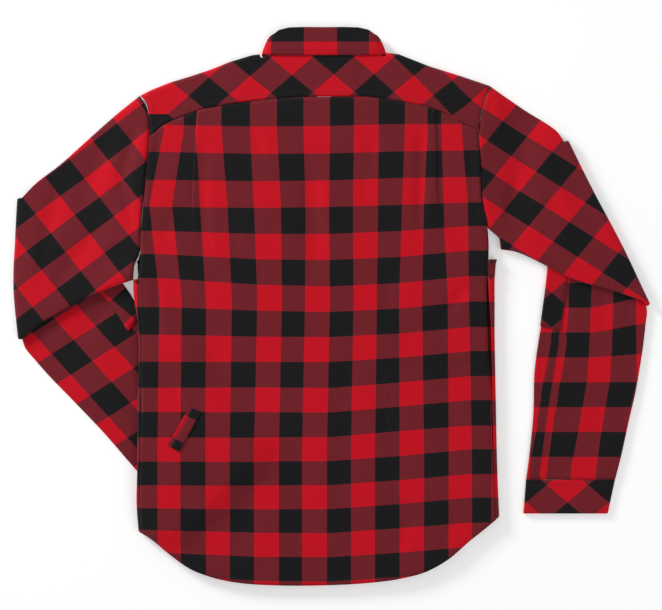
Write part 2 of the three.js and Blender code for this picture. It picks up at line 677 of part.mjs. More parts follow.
// From the leaf's outer edge, over the fold, down to the stand
function leafColumn(row, hand) {
  const roll = (LEAF_RADIUS - STAND_RADIUS + CLOTH) / 2;
  const middle = LEAF_RADIUS - roll;
  const column = [0, 0.5].map((share) => {
    const y = lerp(row.edge, row.fold - roll, share);
    const x = row.x === null ? null : lerp(row.edgeX, row.x, share);
    return collarPlace(row, LEAF_RADIUS, y, x, hand);
  });
  for (const degrees of [90, 45, 0, -45, -90]) {
    const turn = degToRad(degrees);
    const y = row.fold - roll + roll * Math.cos(turn);
    column.push(collarPlace(row, middle + roll * Math.sin(turn), y, row.x, hand));
  }
  column.push(collarPlace(row, middle - roll, row.fold - roll - 3, row.x, hand));
  return column;
}

function standColumn(row, hand) {
  const roll = (LEAF_RADIUS - STAND_RADIUS + CLOTH) / 2;
  const top = row.fold - roll - 3 - 4 * SEAM_GAP;
  const inner = STAND_RADIUS - CLOTH;
  return [0, 0.5, 1].map((share) => collarPlace(row, inner, lerp(top, row.base, share), row.x, hand));
}

// ---- Pieces laid on or under the back ----

// Highest point of a panel's outer surface over a place
function panelHeight(rows, x, y) {
  let highest = -Infinity;
  const test = (a, b, c) => {
    const area = (b.x - a.x) * (c.y - a.y) - (c.x - a.x) * (b.y - a.y);
    if (Math.abs(area) < 1e-9) return;
    const toB = ((x - a.x) * (c.y - a.y) - (c.x - a.x) * (y - a.y)) / area;
    const toC = ((b.x - a.x) * (y - a.y) - (x - a.x) * (b.y - a.y)) / area;
    if (toB < 0 || toC < 0 || toB + toC > 1) return;
    highest = Math.max(highest, a.z + toB * (b.z - a.z) + toC * (c.z - a.z));
  };
  for (let r = 0; r < rows.length - 1; r += 1) {
    for (let c = 0; c < rows[0].length - 1; c += 1) {
      test(rows[r][c], rows[r][c + 1], rows[r + 1][c + 1]);
      test(rows[r][c], rows[r + 1][c + 1], rows[r + 1][c]);
    }
  }
  return highest;
}

// A four-cornered piece that follows a panel, its outer surface a height above it
function followingPiece(panel, corners, steps, height) {
  const rows = [];
  for (let i = 0; i <= steps; i += 1) {
    const row = [];
    for (let j = 0; j <= steps; j += 1) {
      const across = j / steps;
      const along = i / steps;
      const low = { x: lerp(corners[0].x, corners[1].x, across), y: lerp(corners[0].y, corners[1].y, across) };
      const top = { x: lerp(corners[3].x, corners[2].x, across), y: lerp(corners[3].y, corners[2].y, across) };
      const x = lerp(low.x, top.x, along);
      const y = lerp(low.y, top.y, along);
      row.push(new THREE.Vector3(x, y, panelHeight(panel, x, y) + height));
    }
    rows.push(row);
  }
  return rows;
}

function ringGeometry(outer, hole, height) {
  const profile = [[hole, 0], [outer, 0], [outer * 0.8, height], [hole * 1.2, height], [hole, 0]];
  const geometry = new THREE.LatheGeometry(profile.map(([x, y]) => new THREE.Vector2(x, y)), 12);
  return geometry.rotateX(Math.PI / 2);
}

function buttonGeometry(radius, height) {
  const profile = [[0, 0], [radius * 0.85, 0], [radius, height / 2], [radius * 0.85, height], [0, height]];
  const geometry = new THREE.LatheGeometry(profile.map(([x, y]) => new THREE.Vector2(x, y)), 12);
  return geometry.rotateX(Math.PI / 2);
}

// ---- The shirt ----

const back = backRows();
addPiece('back_panel', wall(back), CHECK_CLOTH);
addFront('left');
addFront('right');

const yoke = yokeRows();
addPiece('yoke', wall(yoke.rows, { keep: yoke.keep }), CHECK_CLOTH);

addSleeve('left');
addSleeve('right');

const leaf = columnsToRows(collarColumns(leafColumn));
addPiece('collar_leaf', wall(leaf), CHECK_CLOTH);
const stand = columnsToRows(collarColumns(standColumn));
addPiece('collar_stand', wall(stand), DARK_CLOTH);

addPiece('welt', wall(followingPiece(back, WELT, 3, LAID_ON)), DARK_CLOTH);
addPiece('rear_pocket', wall(followingPiece(back, POCKET, 6, -CLOTH - 2 * SEAM_GAP)), CHECK_CLOTH);

for (const eyelet of EYELETS) {
  const ring = addPiece(`eyelet_${eyelet.name}`, ringGeometry(EYELET.outer, EYELET.hole, EYELET.height), BLACK_METAL);
  const seat = BODY_HEIGHT + armLift(eyelet.x, eyelet.y) + 3 * SEAM_GAP;
  ring.position.set(eyelet.x, eyelet.y, seat);
}

for (let index = 0; index < BUTTON.count; index += 1) {
  const button = addPiece(`button_${index + 1}`, buttonGeometry(BUTTON.radius, BUTTON.height), BUTTON_RESIN);
  button.position.set(CENTRE_X, BUTTON.top - index * BUTTON.spacing, 0);
}

export default shirt;
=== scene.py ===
"""A checked riding shirt laid face down, with both sleeves folded under at the elbow.

The forms are worked out in millimetres in the frame's own axes and put into meshes in metres.
Each piece of cloth is one grid of points on its outer side, with a wall behind it.
"""
import math

import bmesh
import bpy
import numpy as np
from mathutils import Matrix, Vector, noise
from mathutils.bvhtree import BVHTree


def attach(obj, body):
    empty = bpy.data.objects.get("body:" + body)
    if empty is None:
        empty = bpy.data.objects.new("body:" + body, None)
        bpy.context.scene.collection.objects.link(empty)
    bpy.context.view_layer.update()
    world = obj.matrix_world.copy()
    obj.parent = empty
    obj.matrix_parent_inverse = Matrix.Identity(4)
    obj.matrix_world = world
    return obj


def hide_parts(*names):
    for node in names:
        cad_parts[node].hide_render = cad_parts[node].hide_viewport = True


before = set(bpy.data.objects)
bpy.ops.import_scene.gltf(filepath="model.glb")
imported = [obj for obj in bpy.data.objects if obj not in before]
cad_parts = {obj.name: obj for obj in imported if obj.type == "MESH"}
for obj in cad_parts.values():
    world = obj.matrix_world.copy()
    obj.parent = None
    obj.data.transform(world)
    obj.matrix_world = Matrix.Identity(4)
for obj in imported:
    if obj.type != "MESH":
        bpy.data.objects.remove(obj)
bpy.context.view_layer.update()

# ---- Sizes, in millimetres ----
MM = 0.001
CLOTH = 1.1                # thickness of one layer
LAID_CLOTH = 1.0           # the same for a piece sewn on another
BODY_HEIGHT = 12.0         # outside of a front to outside of the back
EDGE_RADIUS = BODY_HEIGHT / 2
SLEEVE_HEIGHT = 5.8
FOLD_GAP = 2.0             # between a forearm and the upper sleeve on it
CREASE_RADIUS = SLEEVE_HEIGHT + FOLD_GAP / 2
CENTRE_X = -22.0           # the line of the front buttons
LAP = 16.0
BUTTON_HEIGHT = 2.2
LAID_ON = 1.5
STITCH_PITCH = 3.0
GRID = 5.5                 # spacing of the cloth's grid
BODY_WIDTH = 525.0
BODY_LENGTH = 735.0
UPPER_RINGS = 36
CREASE_RINGS = 15
FOREARM_RINGS = 55
CUFF_WIDTH = 132.0
CUFF_DEPTH = 50.0
PATCH_FROM, PATCH_TO = 2, 4    # rows of the forearm table that an elbow patch spans
PATCH_REACH = 11               # columns of the sleeve it takes either side of the over line
THREAD_SIZE = (1.15, 0.36, 0.30)
FLOOR_LEVEL = -0.0003          # in metres, a hair below the cloth
THREAD_RISE = 0.12             # how far a stitch's middle stands off the cloth


def table(names, *rows):
    """A short table as a dictionary of columns."""
    return dict(zip(names.split(), np.array(rows, float).T))


# Side seam or armhole seam, and outermost line, of the body at each height
LEFT_EDGE = table(
    "y seam side",
    (-345, -287, -290), (-300, -288, -293), (-250, -287.5, -292), (-141, -286.5, -291),
    (-21, -286.5, -291.5), (15, -289, -297), (40, -290.5, -298), (66, -292, -298),
    (84, -288, -298), (121, -287, -298), (159, -283, -298), (219, -277, -298),
    (262, -273, -298), (285, -275, -298), (301, -279, -298), (316, -288, -298),
)
RIGHT_EDGE = table(
    "y seam side",
    (-330, 247, 252), (-261, 243, 249), (-126, 239.5, 246), (-36, 238, 244.5),
    (9, 235, 244.5), (46, 232.5, 245), (70, 232, 248), (84, 234, 254), (99, 235, 254),
    (121, 233, 254), (151, 226, 254), (219, 222, 254), (264, 220, 254), (301, 228, 254),
    (332, 235, 254),
)
HEM = table(
    "x y",
    (-292, -337), (-273, -348), (-243, -373), (-213, -394), (-183, -406), (-123, -417),
    (-93, -418.5), (-3, -418.5), (57, -415), (102, -409), (147, -396), (177, -378),
    (207, -352), (237, -328), (252, -315),
)
YOKE_SEAM = table(
    "x y",
    (-273, 255), (-250, 273), (-228, 283), (-198, 294), (-168, 300), (-123, 307), (-63, 312),
    (-3, 313.5), (57, 313), (102, 307), (132, 301), (162, 292), (192, 276), (219, 264),
)
SHOULDER = table(
    "x y",
    (-288, 316), (-273, 324), (-243, 336), (-213, 345), (-183, 355), (-153, 367),
    (-120, 377), (-106, 378.5), (82, 380.5), (100, 378.5), (147, 360), (192, 346), (235, 331.5),
)
FRONT_TOP = table(
    "x y",
    (-285, 286), (-243, 306), (-183, 325), (-120, 345), (-104, 348), (-96, 333), (-78, 313),
    (-52, 300), (-22, 296), (28, 302), (54, 314), (72, 334), (80, 350), (100, 348),
    (147, 330), (192, 316), (232, 302),
)
# Sleeves: the line over the arm and the line under it, armhole to crease, crease to cuff
UPPER = {
    "right": table(
        "overX overY underX underY",
        (235.4, 331.5, 254, 85), (265, 311, 280, 80), (292, 293, 318, 62),
        (316, 278, 362, 40), (337, 262, 415, 25), (348, 246, 472, 6),
    ),
    "left": table(
        "overX overY underX underY",
        (-288.4, 316, -298.4, 39), (-325, 287, -332, 27), (-365, 252, -370, 11),
        (-405, 216, -408, -9), (-440, 188, -442, -29), (-465.2, 162, -465.7, -50),
    ),
}
CREASE = {"right": (354, 249, 479, 3, 1.0), "left": (-472, 162, -472.5, -50, 6.0)}
FOREARM = {
    "right": table(
        "overX overY underX underY",
        (348, 246, 472, 6), (337, 185, 474, -10), (330, 115, 472, -26), (324, 45, 470, -45),
        (315, -25, 466, -75), (305, -95, 457, -128), (303, -160, 446, -176),
        (298, -215, 436, -222), (292, -261, 426, -261),
    ),
    "left": table(
        "overX overY underX underY",
        (-465.2, 162, -465.7, -50), (-425, 128, -461, -64), (-375, 87, -447, -81),
        (-318, 36, -423, -108), (-285, -16, -385, -147), (-250, -68, -345, -189),
        (-212, -125, -305, -235), (-176, -183, -273, -272),
    ),
}
CUFF_END = {"right": (288, -312, 415, -312), "left": (-143, -222, -240, -311)}
NECK_LEFT, NECK_RIGHT, NECK_Y = -106.0, 82.0, 384.0
YOKE_DROP = 30.0
# Heights of body rows at the two sides, and where the side strips end
SIDE_ROWS = table(
    "left right",
    (-337, -315), (-252, -250), (-155, -155), (-55, -55), (15, 20), (40, 50), (84, 84),
    (135, 130), (195, 200), (255, 264),
)
ARMPIT = {"left": 40.0, "right": 70.0}
# Pleats: share of the way across the back, the way the top fold faces, depth of the tuck
PLEATS = table("share facing depth", (0.145, -1, 12), (0.868, 1, 12))
# Soft folds seen from above: a trough along a line (a negative depth is a ridge)
FOLDS = table(
    "x0 y0 x1 y1 width depth",
    (-34, 228, -26, 40, 15, 3.0), (134, 268, 131, 92, 8, 3.4), (-120, 268, -103, 220, 7, 1.6),
    (208, 35, 166, -18, 8, 2.1), (-262, 44, -258, -55, 7, 1.8), (-245, 140, -247, 95, 6, 1.5),
    (-196, 240, -190, 60, 9, 1.6), (62, 262, 47, 140, 11, 1.4), (98, 70, 62, -44, 14, 1.1),
    (-184, -56, -150, -166, 14, 1.3), (-62, -196, -38, -334, 18, 1.4), (30, -62, 8, -184, 17, 1.2),
    (122, -306, 92, -384, 10, 1.3), (-118, -296, -152, -384, 12, 1.4), (190, -318, 158, -372, 9, 1.2),
    (-150, 150, -140, 60, 12, 1.2), (206, 240, 214, 130, 6, 1.5), (180, 130, 205, 60, 10, 1.2),
    (-240, -90, -225, -190, 9, 1.0), (-235, -250, -205, -340, 11, 1.3), (60, 60, 72, -30, 8, -0.8),
    (-293, 272, -312, 206, 9, 3.0), (-313, 216, -314, 164, 9, 3.2), (-313, 172, -296, 104, 9, 2.8),
    (230, 322, 237, 286, 7, 2.0), (258, 282, 305, 197, 13, 3.2), (303, 200, 344, 140, 12, 2.6),
    (-332, 258, -382, 150, 15, 2.0), (-402, 192, -440, 80, 13, 1.7), (-346, 124, -420, 20, 13, 2.0),
    (330, 224, 402, 108, 15, 1.6), (298, 122, 384, 58, 12, 1.8), (280, 204, 260, 118, 8, 2.2),
    (236, 120, 251, 90, 4.5, 2.0), (246, 116, 262, 97, 4, 1.7), (-330, 90, -300, 60, 7, 1.8),
    (-440, 130, -455, 20, 9, -1.2), (400, 170, 440, 60, 10, -1.2),
)
FOREARM_FOLDS = table(
    "x0 y0 x1 y1 width depth",
    (352, 30, 346, -70, 9, 1.4), (404, 26, 414, -52, 11, 1.8), (440, 12, 452, -40, 8, 1.6),
    (330, -110, 360, -190, 11, 1.2), (410, -120, 392, -230, 13, 1.3), (350, -200, 346, -258, 7, 1.0),
    (-330, 0, -400, -70, 10, 1.6), (-430, -50, -380, -120, 10, 1.4), (-320, -60, -300, -180, 12, 1.2),
)

# ---- Small mathematics ----


def smoothstep(value, low, high):
    share = np.clip((value - low) / (high - low), 0, 1)
    return share * share * (3 - 2 * share)


def lerp(a, b, share):
    return a + (b - a) * share


def curve(xs, ys, x):
    """Smooth curve through a table's points."""
    xs, ys, x = np.asarray(xs), np.asarray(ys), np.asarray(x, float)
    slopes = np.gradient(ys, xs)
    index = np.clip(np.searchsorted(xs, x) - 1, 0, len(xs) - 2)
    step = xs[index + 1] - xs[index]
    t = np.clip((x - xs[index]) / step, 0, 1)
    low, high = ys[index], ys[index + 1]
    slope_low, slope_high = slopes[index] * step, slopes[index + 1] * step
    return (low * (2 * t**3 - 3 * t**2 + 1) + slope_low * (t**3 - 2 * t**2 + t)
            + high * (3 * t**2 - 2 * t**3) + slope_high * (t**3 - t**2))


def look(rows, key, place, column):
    return curve(rows[key], rows[column], place)


def outline_of(hand):
    rows, end = FOREARM[hand], CUFF_END[hand]
    over = list(zip(rows["overX"], rows["overY"])) + [(end[0], end[1])]
    under = list(zip(rows["underX"], rows["underY"])) + [(end[2], end[3])]
    return np.array(over + under[::-1])


def distance_outside(x, y, outline):
    """Distance to an outline, 0 within it."""
    nearest = np.full(np.shape(x), np.inf)
    within = np.zeros(np.shape(x), bool)
    for (ax, ay), (bx, by) in zip(outline, np.roll(outline, -1, axis=0)):
        run_x, run_y = bx - ax, by - ay
        share = np.clip(((x - ax) * run_x + (y - ay) * run_y) / (run_x**2 + run_y**2), 0, 1)
        nearest = np.minimum(nearest, np.hypot(x - ax - share * run_x, y - ay - share * run_y))
        if run_y:
            within ^= ((ay > y) != (by > y)) & (x < ax + (y - ay) * run_x / run_y)
    return np.where(within, 0, nearest)


ARMS = {hand: outline_of(hand) for hand in ("left", "right")}
COLLAR_OUTLINE = np.array([
    (-98, 372), (-90, 290), (-78, 262), (54, 262), (66, 290), (74, 372),
], float)


def arm_lift(x, y):
    """How far a folded forearm lifts what lies on it."""
    left = 1 - smoothstep(distance_outside(x, y, ARMS["left"]) - 18, 0, 46)
    right = 1 - smoothstep(distance_outside(x, y, ARMS["right"]) - 18, 0, 46)
    return (SLEEVE_HEIGHT + FOLD_GAP) * np.maximum(left, np.where(x > 256, right, 0))


def front_lift(x, y):
    collar = 1 - smoothstep(distance_outside(x, y, COLLAR_OUTLINE) - 10, 0, 36)
    return np.maximum(arm_lift(x, y), 2.6 * collar)


def fold_depth(folds, x, y):
    depth = np.zeros(np.shape(x))
    for x0, y0, x1, y1, width, deep in zip(*folds.values()):
        run_x, run_y = x1 - x0, y1 - y0
        share = ((x - x0) * run_x + (y - y0) * run_y) / (run_x**2 + run_y**2)
        ends = smoothstep(share, -0.12, 0.3) * (1 - smoothstep(share, 0.62, 1.15))
        off = ((y - y0) * run_x - (x - x0) * run_y) / math.hypot(run_x, run_y) / width
        depth += deep * ends * (np.exp(-off * off) - 0.35 * np.exp(-((off - 1.7) ** 2)))
    return depth


def ripple(x, y, size, seed):
    """Small uneven waves of lived-in cloth."""
    flat_x, flat_y = np.ravel(x), np.ravel(y)
    values = [noise.noise((a / size, b / (1.6 * size), seed)) for a, b in zip(flat_x, flat_y)]
    return np.reshape(values, np.shape(x))


def around_edge(arc, radius):
    """Inset from the outermost line and height, an arc distance round a rounded edge."""
    turn = np.clip(arc / radius, -math.pi / 2, math.pi / 2)
    beyond = np.maximum(0, np.abs(arc) - radius * math.pi / 2)
    return radius * (1 - np.cos(turn)) + beyond, radius * (1 + np.sin(turn))


def back_height(x, y):
    left = x - look(LEFT_EDGE, "y", y, "side")
    right = look(RIGHT_EDGE, "y", y, "side") - x
    inset = np.clip(np.minimum(left, right), 0, EDGE_RADIUS)
    rise = np.sqrt(np.maximum(0, EDGE_RADIUS**2 - (EDGE_RADIUS - inset) ** 2))
    soft = 0.45 * ripple(x, y, 38, 3.1) + 0.18 * ripple(x, y, 13, 8.4)
    fade = smoothstep(np.minimum(left, right), 2, 14)
    return arm_lift(x, y) + EDGE_RADIUS + rise + (soft - fold_depth(FOLDS, x, y)) * fade


# ---- The check: where its lines run on each piece, counted in squares ----

# Lines of the warp across the back, from an even count at a dark stripe's left side
BACK_WARP_HEIGHTS = (264, 151.5, 9, -216)
BACK_WARP = (
    (-292, -252, -222, -204.8, -165.8, -123, -82.5, -42.8, -3, 33, 69.8, 109.5, 144, 161.3,
     195, 219, 250),
    (-292, -274.5, -240, -198, -156.8, -117, -76.5, -39.8, -4.5, 31.5, 69, 105, 138, 166.5,
     204, 234, 262),
    (-291, -258, -225, -189, -150, -111.8, -75, -40.5, -3, 32.3, 67.5, 100.5, 135, 174, 205.5,
     235, 262),
    (-291, -261, -226.5, -189, -153, -117, -79.5, -45, -7.5, 28.5, 64.5, 101.3, 138, 174.8,
     210, 239, 264),
)
# Lines of the weft at five places across, from the yoke seam down
BACK_WEFT_PLACES = (-258, -110, -3, 102, 207)
BACK_WEFT = (
    (309, 271.5, 231, 189, 148.5, 112.5, 78, 42, -1.5, -42.8, -83.3, -122.3, -158.3, -196.5,
     -232.5, -267.8, -302.3, -335.3, -369.8, -404),
    (310, 269, 228, 187, 147, 108, 70, 32, -7, -46, -84, -122, -159, -197, -233, -269, -305,
     -340, -376, -412),
    (313.5, 270, 228.8, 188.3, 148.5, 108, 69, 29.3, -9, -46.5, -84, -123, -159.8, -196.5,
     -232.5, -268.5, -304.5, -340.5, -376.5, -413.3),
    (312, 273, 231.8, 192, 151.5, 112.5, 73.5, 34.5, -3.8, -41.3, -77.3, -114.8, -150.8,
     -187.5, -225, -261, -297, -333, -369.8, -406),
    (313, 273, 233.3, 193.5, 155.3, 120, 83.3, 45, 6.8, -31.5, -67.5, -105, -141, -179.3,
     -214.5, -252, -287.3, -324.8, -361, -397),
)


def lines_at(places, lines, place, across):
    """Count of squares at a point, from lines given at several places."""
    order = np.argsort(places)
    places = np.array(places, float)[order]
    lines = np.array(lines, float)[order]
    flat_place, flat_across = np.ravel(place), np.ravel(across)
    count = np.arange(lines.shape[1], dtype=float)
    flat = np.zeros(flat_place.shape)
    low = np.clip(np.searchsorted(places, flat_place) - 1, 0, len(places) - 2)
    share = np.clip((flat_place - places[low]) / (places[low + 1] - places[low]), 0, 1)
    for index in range(len(flat)):
        here = lerp(lines[low[index]], lines[low[index] + 1], share[index])
        if here[0] < here[-1]:
            flat[index] = spread(flat_across[index], here, count)
        else:
            flat[index] = spread(flat_across[index], here[::-1], count[::-1])
    return flat.reshape(np.shape(place))


def spread(value, lines, count):
    """Interpolate, and go on evenly past the first and last line."""
    if value < lines[0]:
        return count[0] + (value - lines[0]) / (lines[1] - lines[0]) * (count[1] - count[0])
    if value > lines[-1]:
        return count[-1] + (value - lines[-1]) / (lines[-1] - lines[-2]) * (count[-1] - count[-2])
    return np.interp(value, lines, count)


def back_check(x, y):
    warp = lines_at(BACK_WARP_HEIGHTS, BACK_WARP, y, x)
    weft = lines_at(BACK_WEFT_PLACES, BACK_WEFT, x, y)
    return np.stack([warp, weft], axis=-1)


def slanted_check(x, y, corner, along, across):
    """Even check whose square starts at a corner and has these two sides."""
    matrix = np.array([[along[0], across[0]], [along[1], across[1]]])
    inverse = np.linalg.inv(matrix)
    dx, dy = x - corner[0], y - corner[1]
    counts = [row[0] * dx + row[1] * dy for row in inverse]
    return np.stack(counts, axis=-1)


def bias_check(x, y, centre, wide=62.0, tall=52.5, tone=0.0):
    """Diamonds; tone 0 makes the one at the centre black, 1 makes it red."""
    dx, dy = (x - centre[0]) / wide, (y - centre[1]) / tall
    return np.stack([dx + dy + 0.5 + tone, dy - dx + 0.5 + tone], axis=-1)


def right_upper_check(x, y):
    return slanted_check(x, y, (256.5, 277.5), (36.75, -23.25), (-24, -29.25))


def left_upper_check(x, y):
    return slanted_check(x, y, (-322.5, 274.5), (-36, -27), (22.5, -28.5))


def right_forearm_check(x, y):
    columns = np.array([
        (-420, 262, 297, 313, 322, 358, 390, 429),
        (-246, 262, 297, 313, 322, 359, 397, 430),
        (-190, 270, 307, 320, 330, 370, 405, 441),
        (-110, 280, 319, 332, 343, 384, 418, 458),
        (-59, 292, 330, 340.5, 351, 387, 421, 457.5),
        (45, 302, 340, 346.5, 357, 391, 424, 457),
    ], float)
    counts = np.array([-1, 0, 1, 2, 3, 4, 5], float)
    levels = columns[:, 0]
    flat_x, flat_y = np.ravel(x), np.ravel(y)
    warp = np.zeros(flat_x.shape)
    for index, (px, py) in enumerate(zip(flat_x, flat_y)):
        low = int(np.clip(np.searchsorted(levels, py) - 1, 0, len(levels) - 2))
        share = min(max((py - levels[low]) / (levels[low + 1] - levels[low]), 0), 1)
        warp[index] = spread(px, lerp(columns[low, 1:], columns[low + 1, 1:], share), counts)
    tilt = smoothstep(y, -120, 0) * np.maximum(0, x - 392) * 0.21
    weft = (-39.8 - (y - tilt)) / 37.4
    return np.stack([warp.reshape(np.shape(x)), weft], axis=-1)


def left_forearm_check(x, y):
    return slanted_check(x, y, (-355.5, -30), (28.5, -31.5), (33, 21))


def cuff_check(hand):
    if hand == "right":
        return lambda x, y: bias_check(x, y, (354, -269), tone=1.0)
    return lambda x, y: bias_check(x, y, (-200, -240), tone=1.0)


def patch_check(hand):
    centre = (330, -6) if hand == "right" else (-300, 10)
    return lambda x, y: bias_check(x, y, centre)


def yoke_check(x, y):
    along = np.array([-246, -184.5, -123, -60, 3, 63, 123, 180, 240])
    level = curve((-246, -60, 3, 123, 200), (314, 320, 321, 319, 309), np.clip(x, -246, 200))
    place = np.interp(x, along, np.arange(9.0)) - 3
    dy = (y - level) / 52.5
    return np.stack([place + dy + 0.5, dy - place + 0.5], axis=-1)


def collar_check(x, y):
    warp = np.interp(x, (-190, -141, -91.5, -42, 7.5, 55.5, 105), np.arange(7.0)) - 2
    weft = (396 - y) / 36.5 + 1
    return np.stack([warp, weft], axis=-1)


# ---- Meshes ----

PIECES = []
ALL = 9999                 # past the last column of any grid


def grid_object(name, points, checks, keep=None, ring=False, flipped=False):
    """Cloth from a grid of points; checks are (first column, last column, counts of squares)."""
    rows, across = points.shape[:2]
    cells = across if ring else across - 1
    faces, coordinates = [], []
    for r in range(rows - 1):
        for c in range(cells):
            if keep is not None and not keep[r, c]:
                continue
            d = (c + 1) % across
            loop = [(r, c), (r, d), (r + 1, d), (r + 1, c)]
            if flipped:
                loop.reverse()
            counts = next(grid for first, last, grid in checks if first <= c <= last)
            faces.append([i * across + j for i, j in loop])
            coordinates.extend(counts[i, j] for i, j in loop)
    mesh = bpy.data.meshes.new(name)
    used = sorted({index for face in faces for index in face})
    place = {index: position for position, index in enumerate(used)}
    vertices = points.reshape(-1, 3)[used] * MM
    mesh.from_pydata(vertices.tolist(), [], [[place[index] for index in face] for face in faces])
    layer = mesh.uv_layers.new(name="Check")
    layer.data.foreach_set("uv", np.ravel(coordinates))
    mesh.polygons.foreach_set("use_smooth", [True] * len(mesh.polygons))
    mesh.update()
    piece = bpy.data.objects.new(name, mesh)
    bpy.context.scene.collection.objects.link(piece)
    return piece


def give_wall(piece, thickness=CLOTH):
    wall = piece.modifiers.new("Wall", "SOLIDIFY")
    wall.thickness = thickness * MM
    wall.offset = -1
    wall.use_quality_normals = True


def finish_cloth(piece, node, thickness=CLOTH):
    piece.data.materials.append(CLOTH_FINISH)
    give_wall(piece, thickness)
    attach(piece, "root")
    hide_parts(node)
    PIECES.append(piece)
    return piece


# ---- Body ----


def side_height(hand, up):
    rows = SIDE_ROWS[hand]
    return np.interp(up, np.linspace(0, 1, len(rows)), rows)


def seam_band(distance, rows_at=(2.0, 7.5), width=9.0):
    """Doubled cloth beside a felled seam, pressed in along its rows of stitching."""
    band = 0.55 * (1 - smoothstep(distance, width - 1.5, width + 1.5))
    for place in rows_at:
        band -= 0.4 * np.exp(-(((distance - place) / 1.1) ** 2))
    return band


def pleat_columns(shares):
    """Columns across the back as (share, points of the pleat): plain ones have none."""
    profile = table(
        "flat under high",
        (-6, 12.5, -2.0), (-4, 13.2, -1.9), (-2.5, 12.8, -1.7), (-1, 8, -1.7), (0, 3, -1.7), (1, 0.4, -1.6),
        (2, -1.0, -1.0), (3.5, -1.2, 0.0), (5, 0.2, 0.9), (7, 2.4, 1.0),
    )
    columns = [(share, 0.0, 0.0, 0.0) for share in shares]
    for share, facing, depth in zip(*PLEATS.values()):
        columns = [column for column in columns if abs(column[0] - share) > 0.017]
        for flat, under, high in zip(*profile.values()):
            columns.append((share - facing * flat * 1e-4, -facing * flat, -facing * under * depth / 12, high))
    columns.sort()
    return np.array(columns)


def build_back():
    shares = np.linspace(0, 1, round(BODY_WIDTH / GRID) + 1)
    columns = pleat_columns(shares)
    ups = np.linspace(0, 1, round(BODY_LENGTH / GRID) + 1)
    up, share = np.meshgrid(ups, columns[:, 0], indexing="ij")
    strength = smoothstep(up, 0.70, 0.86)
    left = look(LEFT_EDGE, "y", side_height("left", up), "seam")
    right = look(RIGHT_EDGE, "y", side_height("right", up), "seam")
    x = lerp(left, right, share) + lerp(columns[:, 1], columns[:, 2], strength)
    y = lerp(look(HEM, "x", x, "y"), look(YOKE_SEAM, "x", x, "y"), up)
    z = back_height(x, y) + strength * columns[:, 3]
    from_side = np.minimum(x - left, right - x)
    at_armhole = smoothstep(up, 0.68, 0.72)
    z = z + at_armhole * seam_band(from_side)
    from_hem = y - look(HEM, "x", x, "y")
    pucker = 0.25 * ripple(x, y, 5, 2.2) * np.exp(-from_hem / 9)
    z = z + 0.5 * (1 - smoothstep(from_hem, 6, 9)) - 0.35 * np.exp(-(((from_hem - 7) / 1.5) ** 2)) + pucker
    z = z + 0.3 * ripple(x, y, 6, 5.5) * at_armhole * np.exp(-from_side / 12)
    z = z - pocket_press(x, y)
    points = np.stack([x, y, z], axis=-1)
    return grid_object("back", points, [(0, ALL, back_check(x, y))])


POCKET = np.array([(91, -298), (243, -286), (239, -82), (81, -96)], float)


def line_distance(x, y, ax, ay, bx, by):
    run_x, run_y = bx - ax, by - ay
    share = np.clip(((x - ax) * run_x + (y - ay) * run_y) / (run_x**2 + run_y**2), 0, 1)
    return np.hypot(x - ax - share * run_x, y - ay - share * run_y)


def pocket_press(x, y):
    """The pocket's stitching draws the back in along its outline."""
    sides = [(0, 1), (2, 3), (3, 0)]
    press = np.zeros(np.shape(x))
    for start, end in sides:
        distance = line_distance(x, y, *POCKET[start], *POCKET[end])
        drawn_in = 0.6 * np.exp(-((distance / 2.0) ** 2)) + 0.3 * np.exp(-((distance / 7.0) ** 2))
        press = np.maximum(press, drawn_in)
    inside = distance_outside(x, y, POCKET) == 0
    return press - np.where(inside, 0.35, 0) * (1 - press)


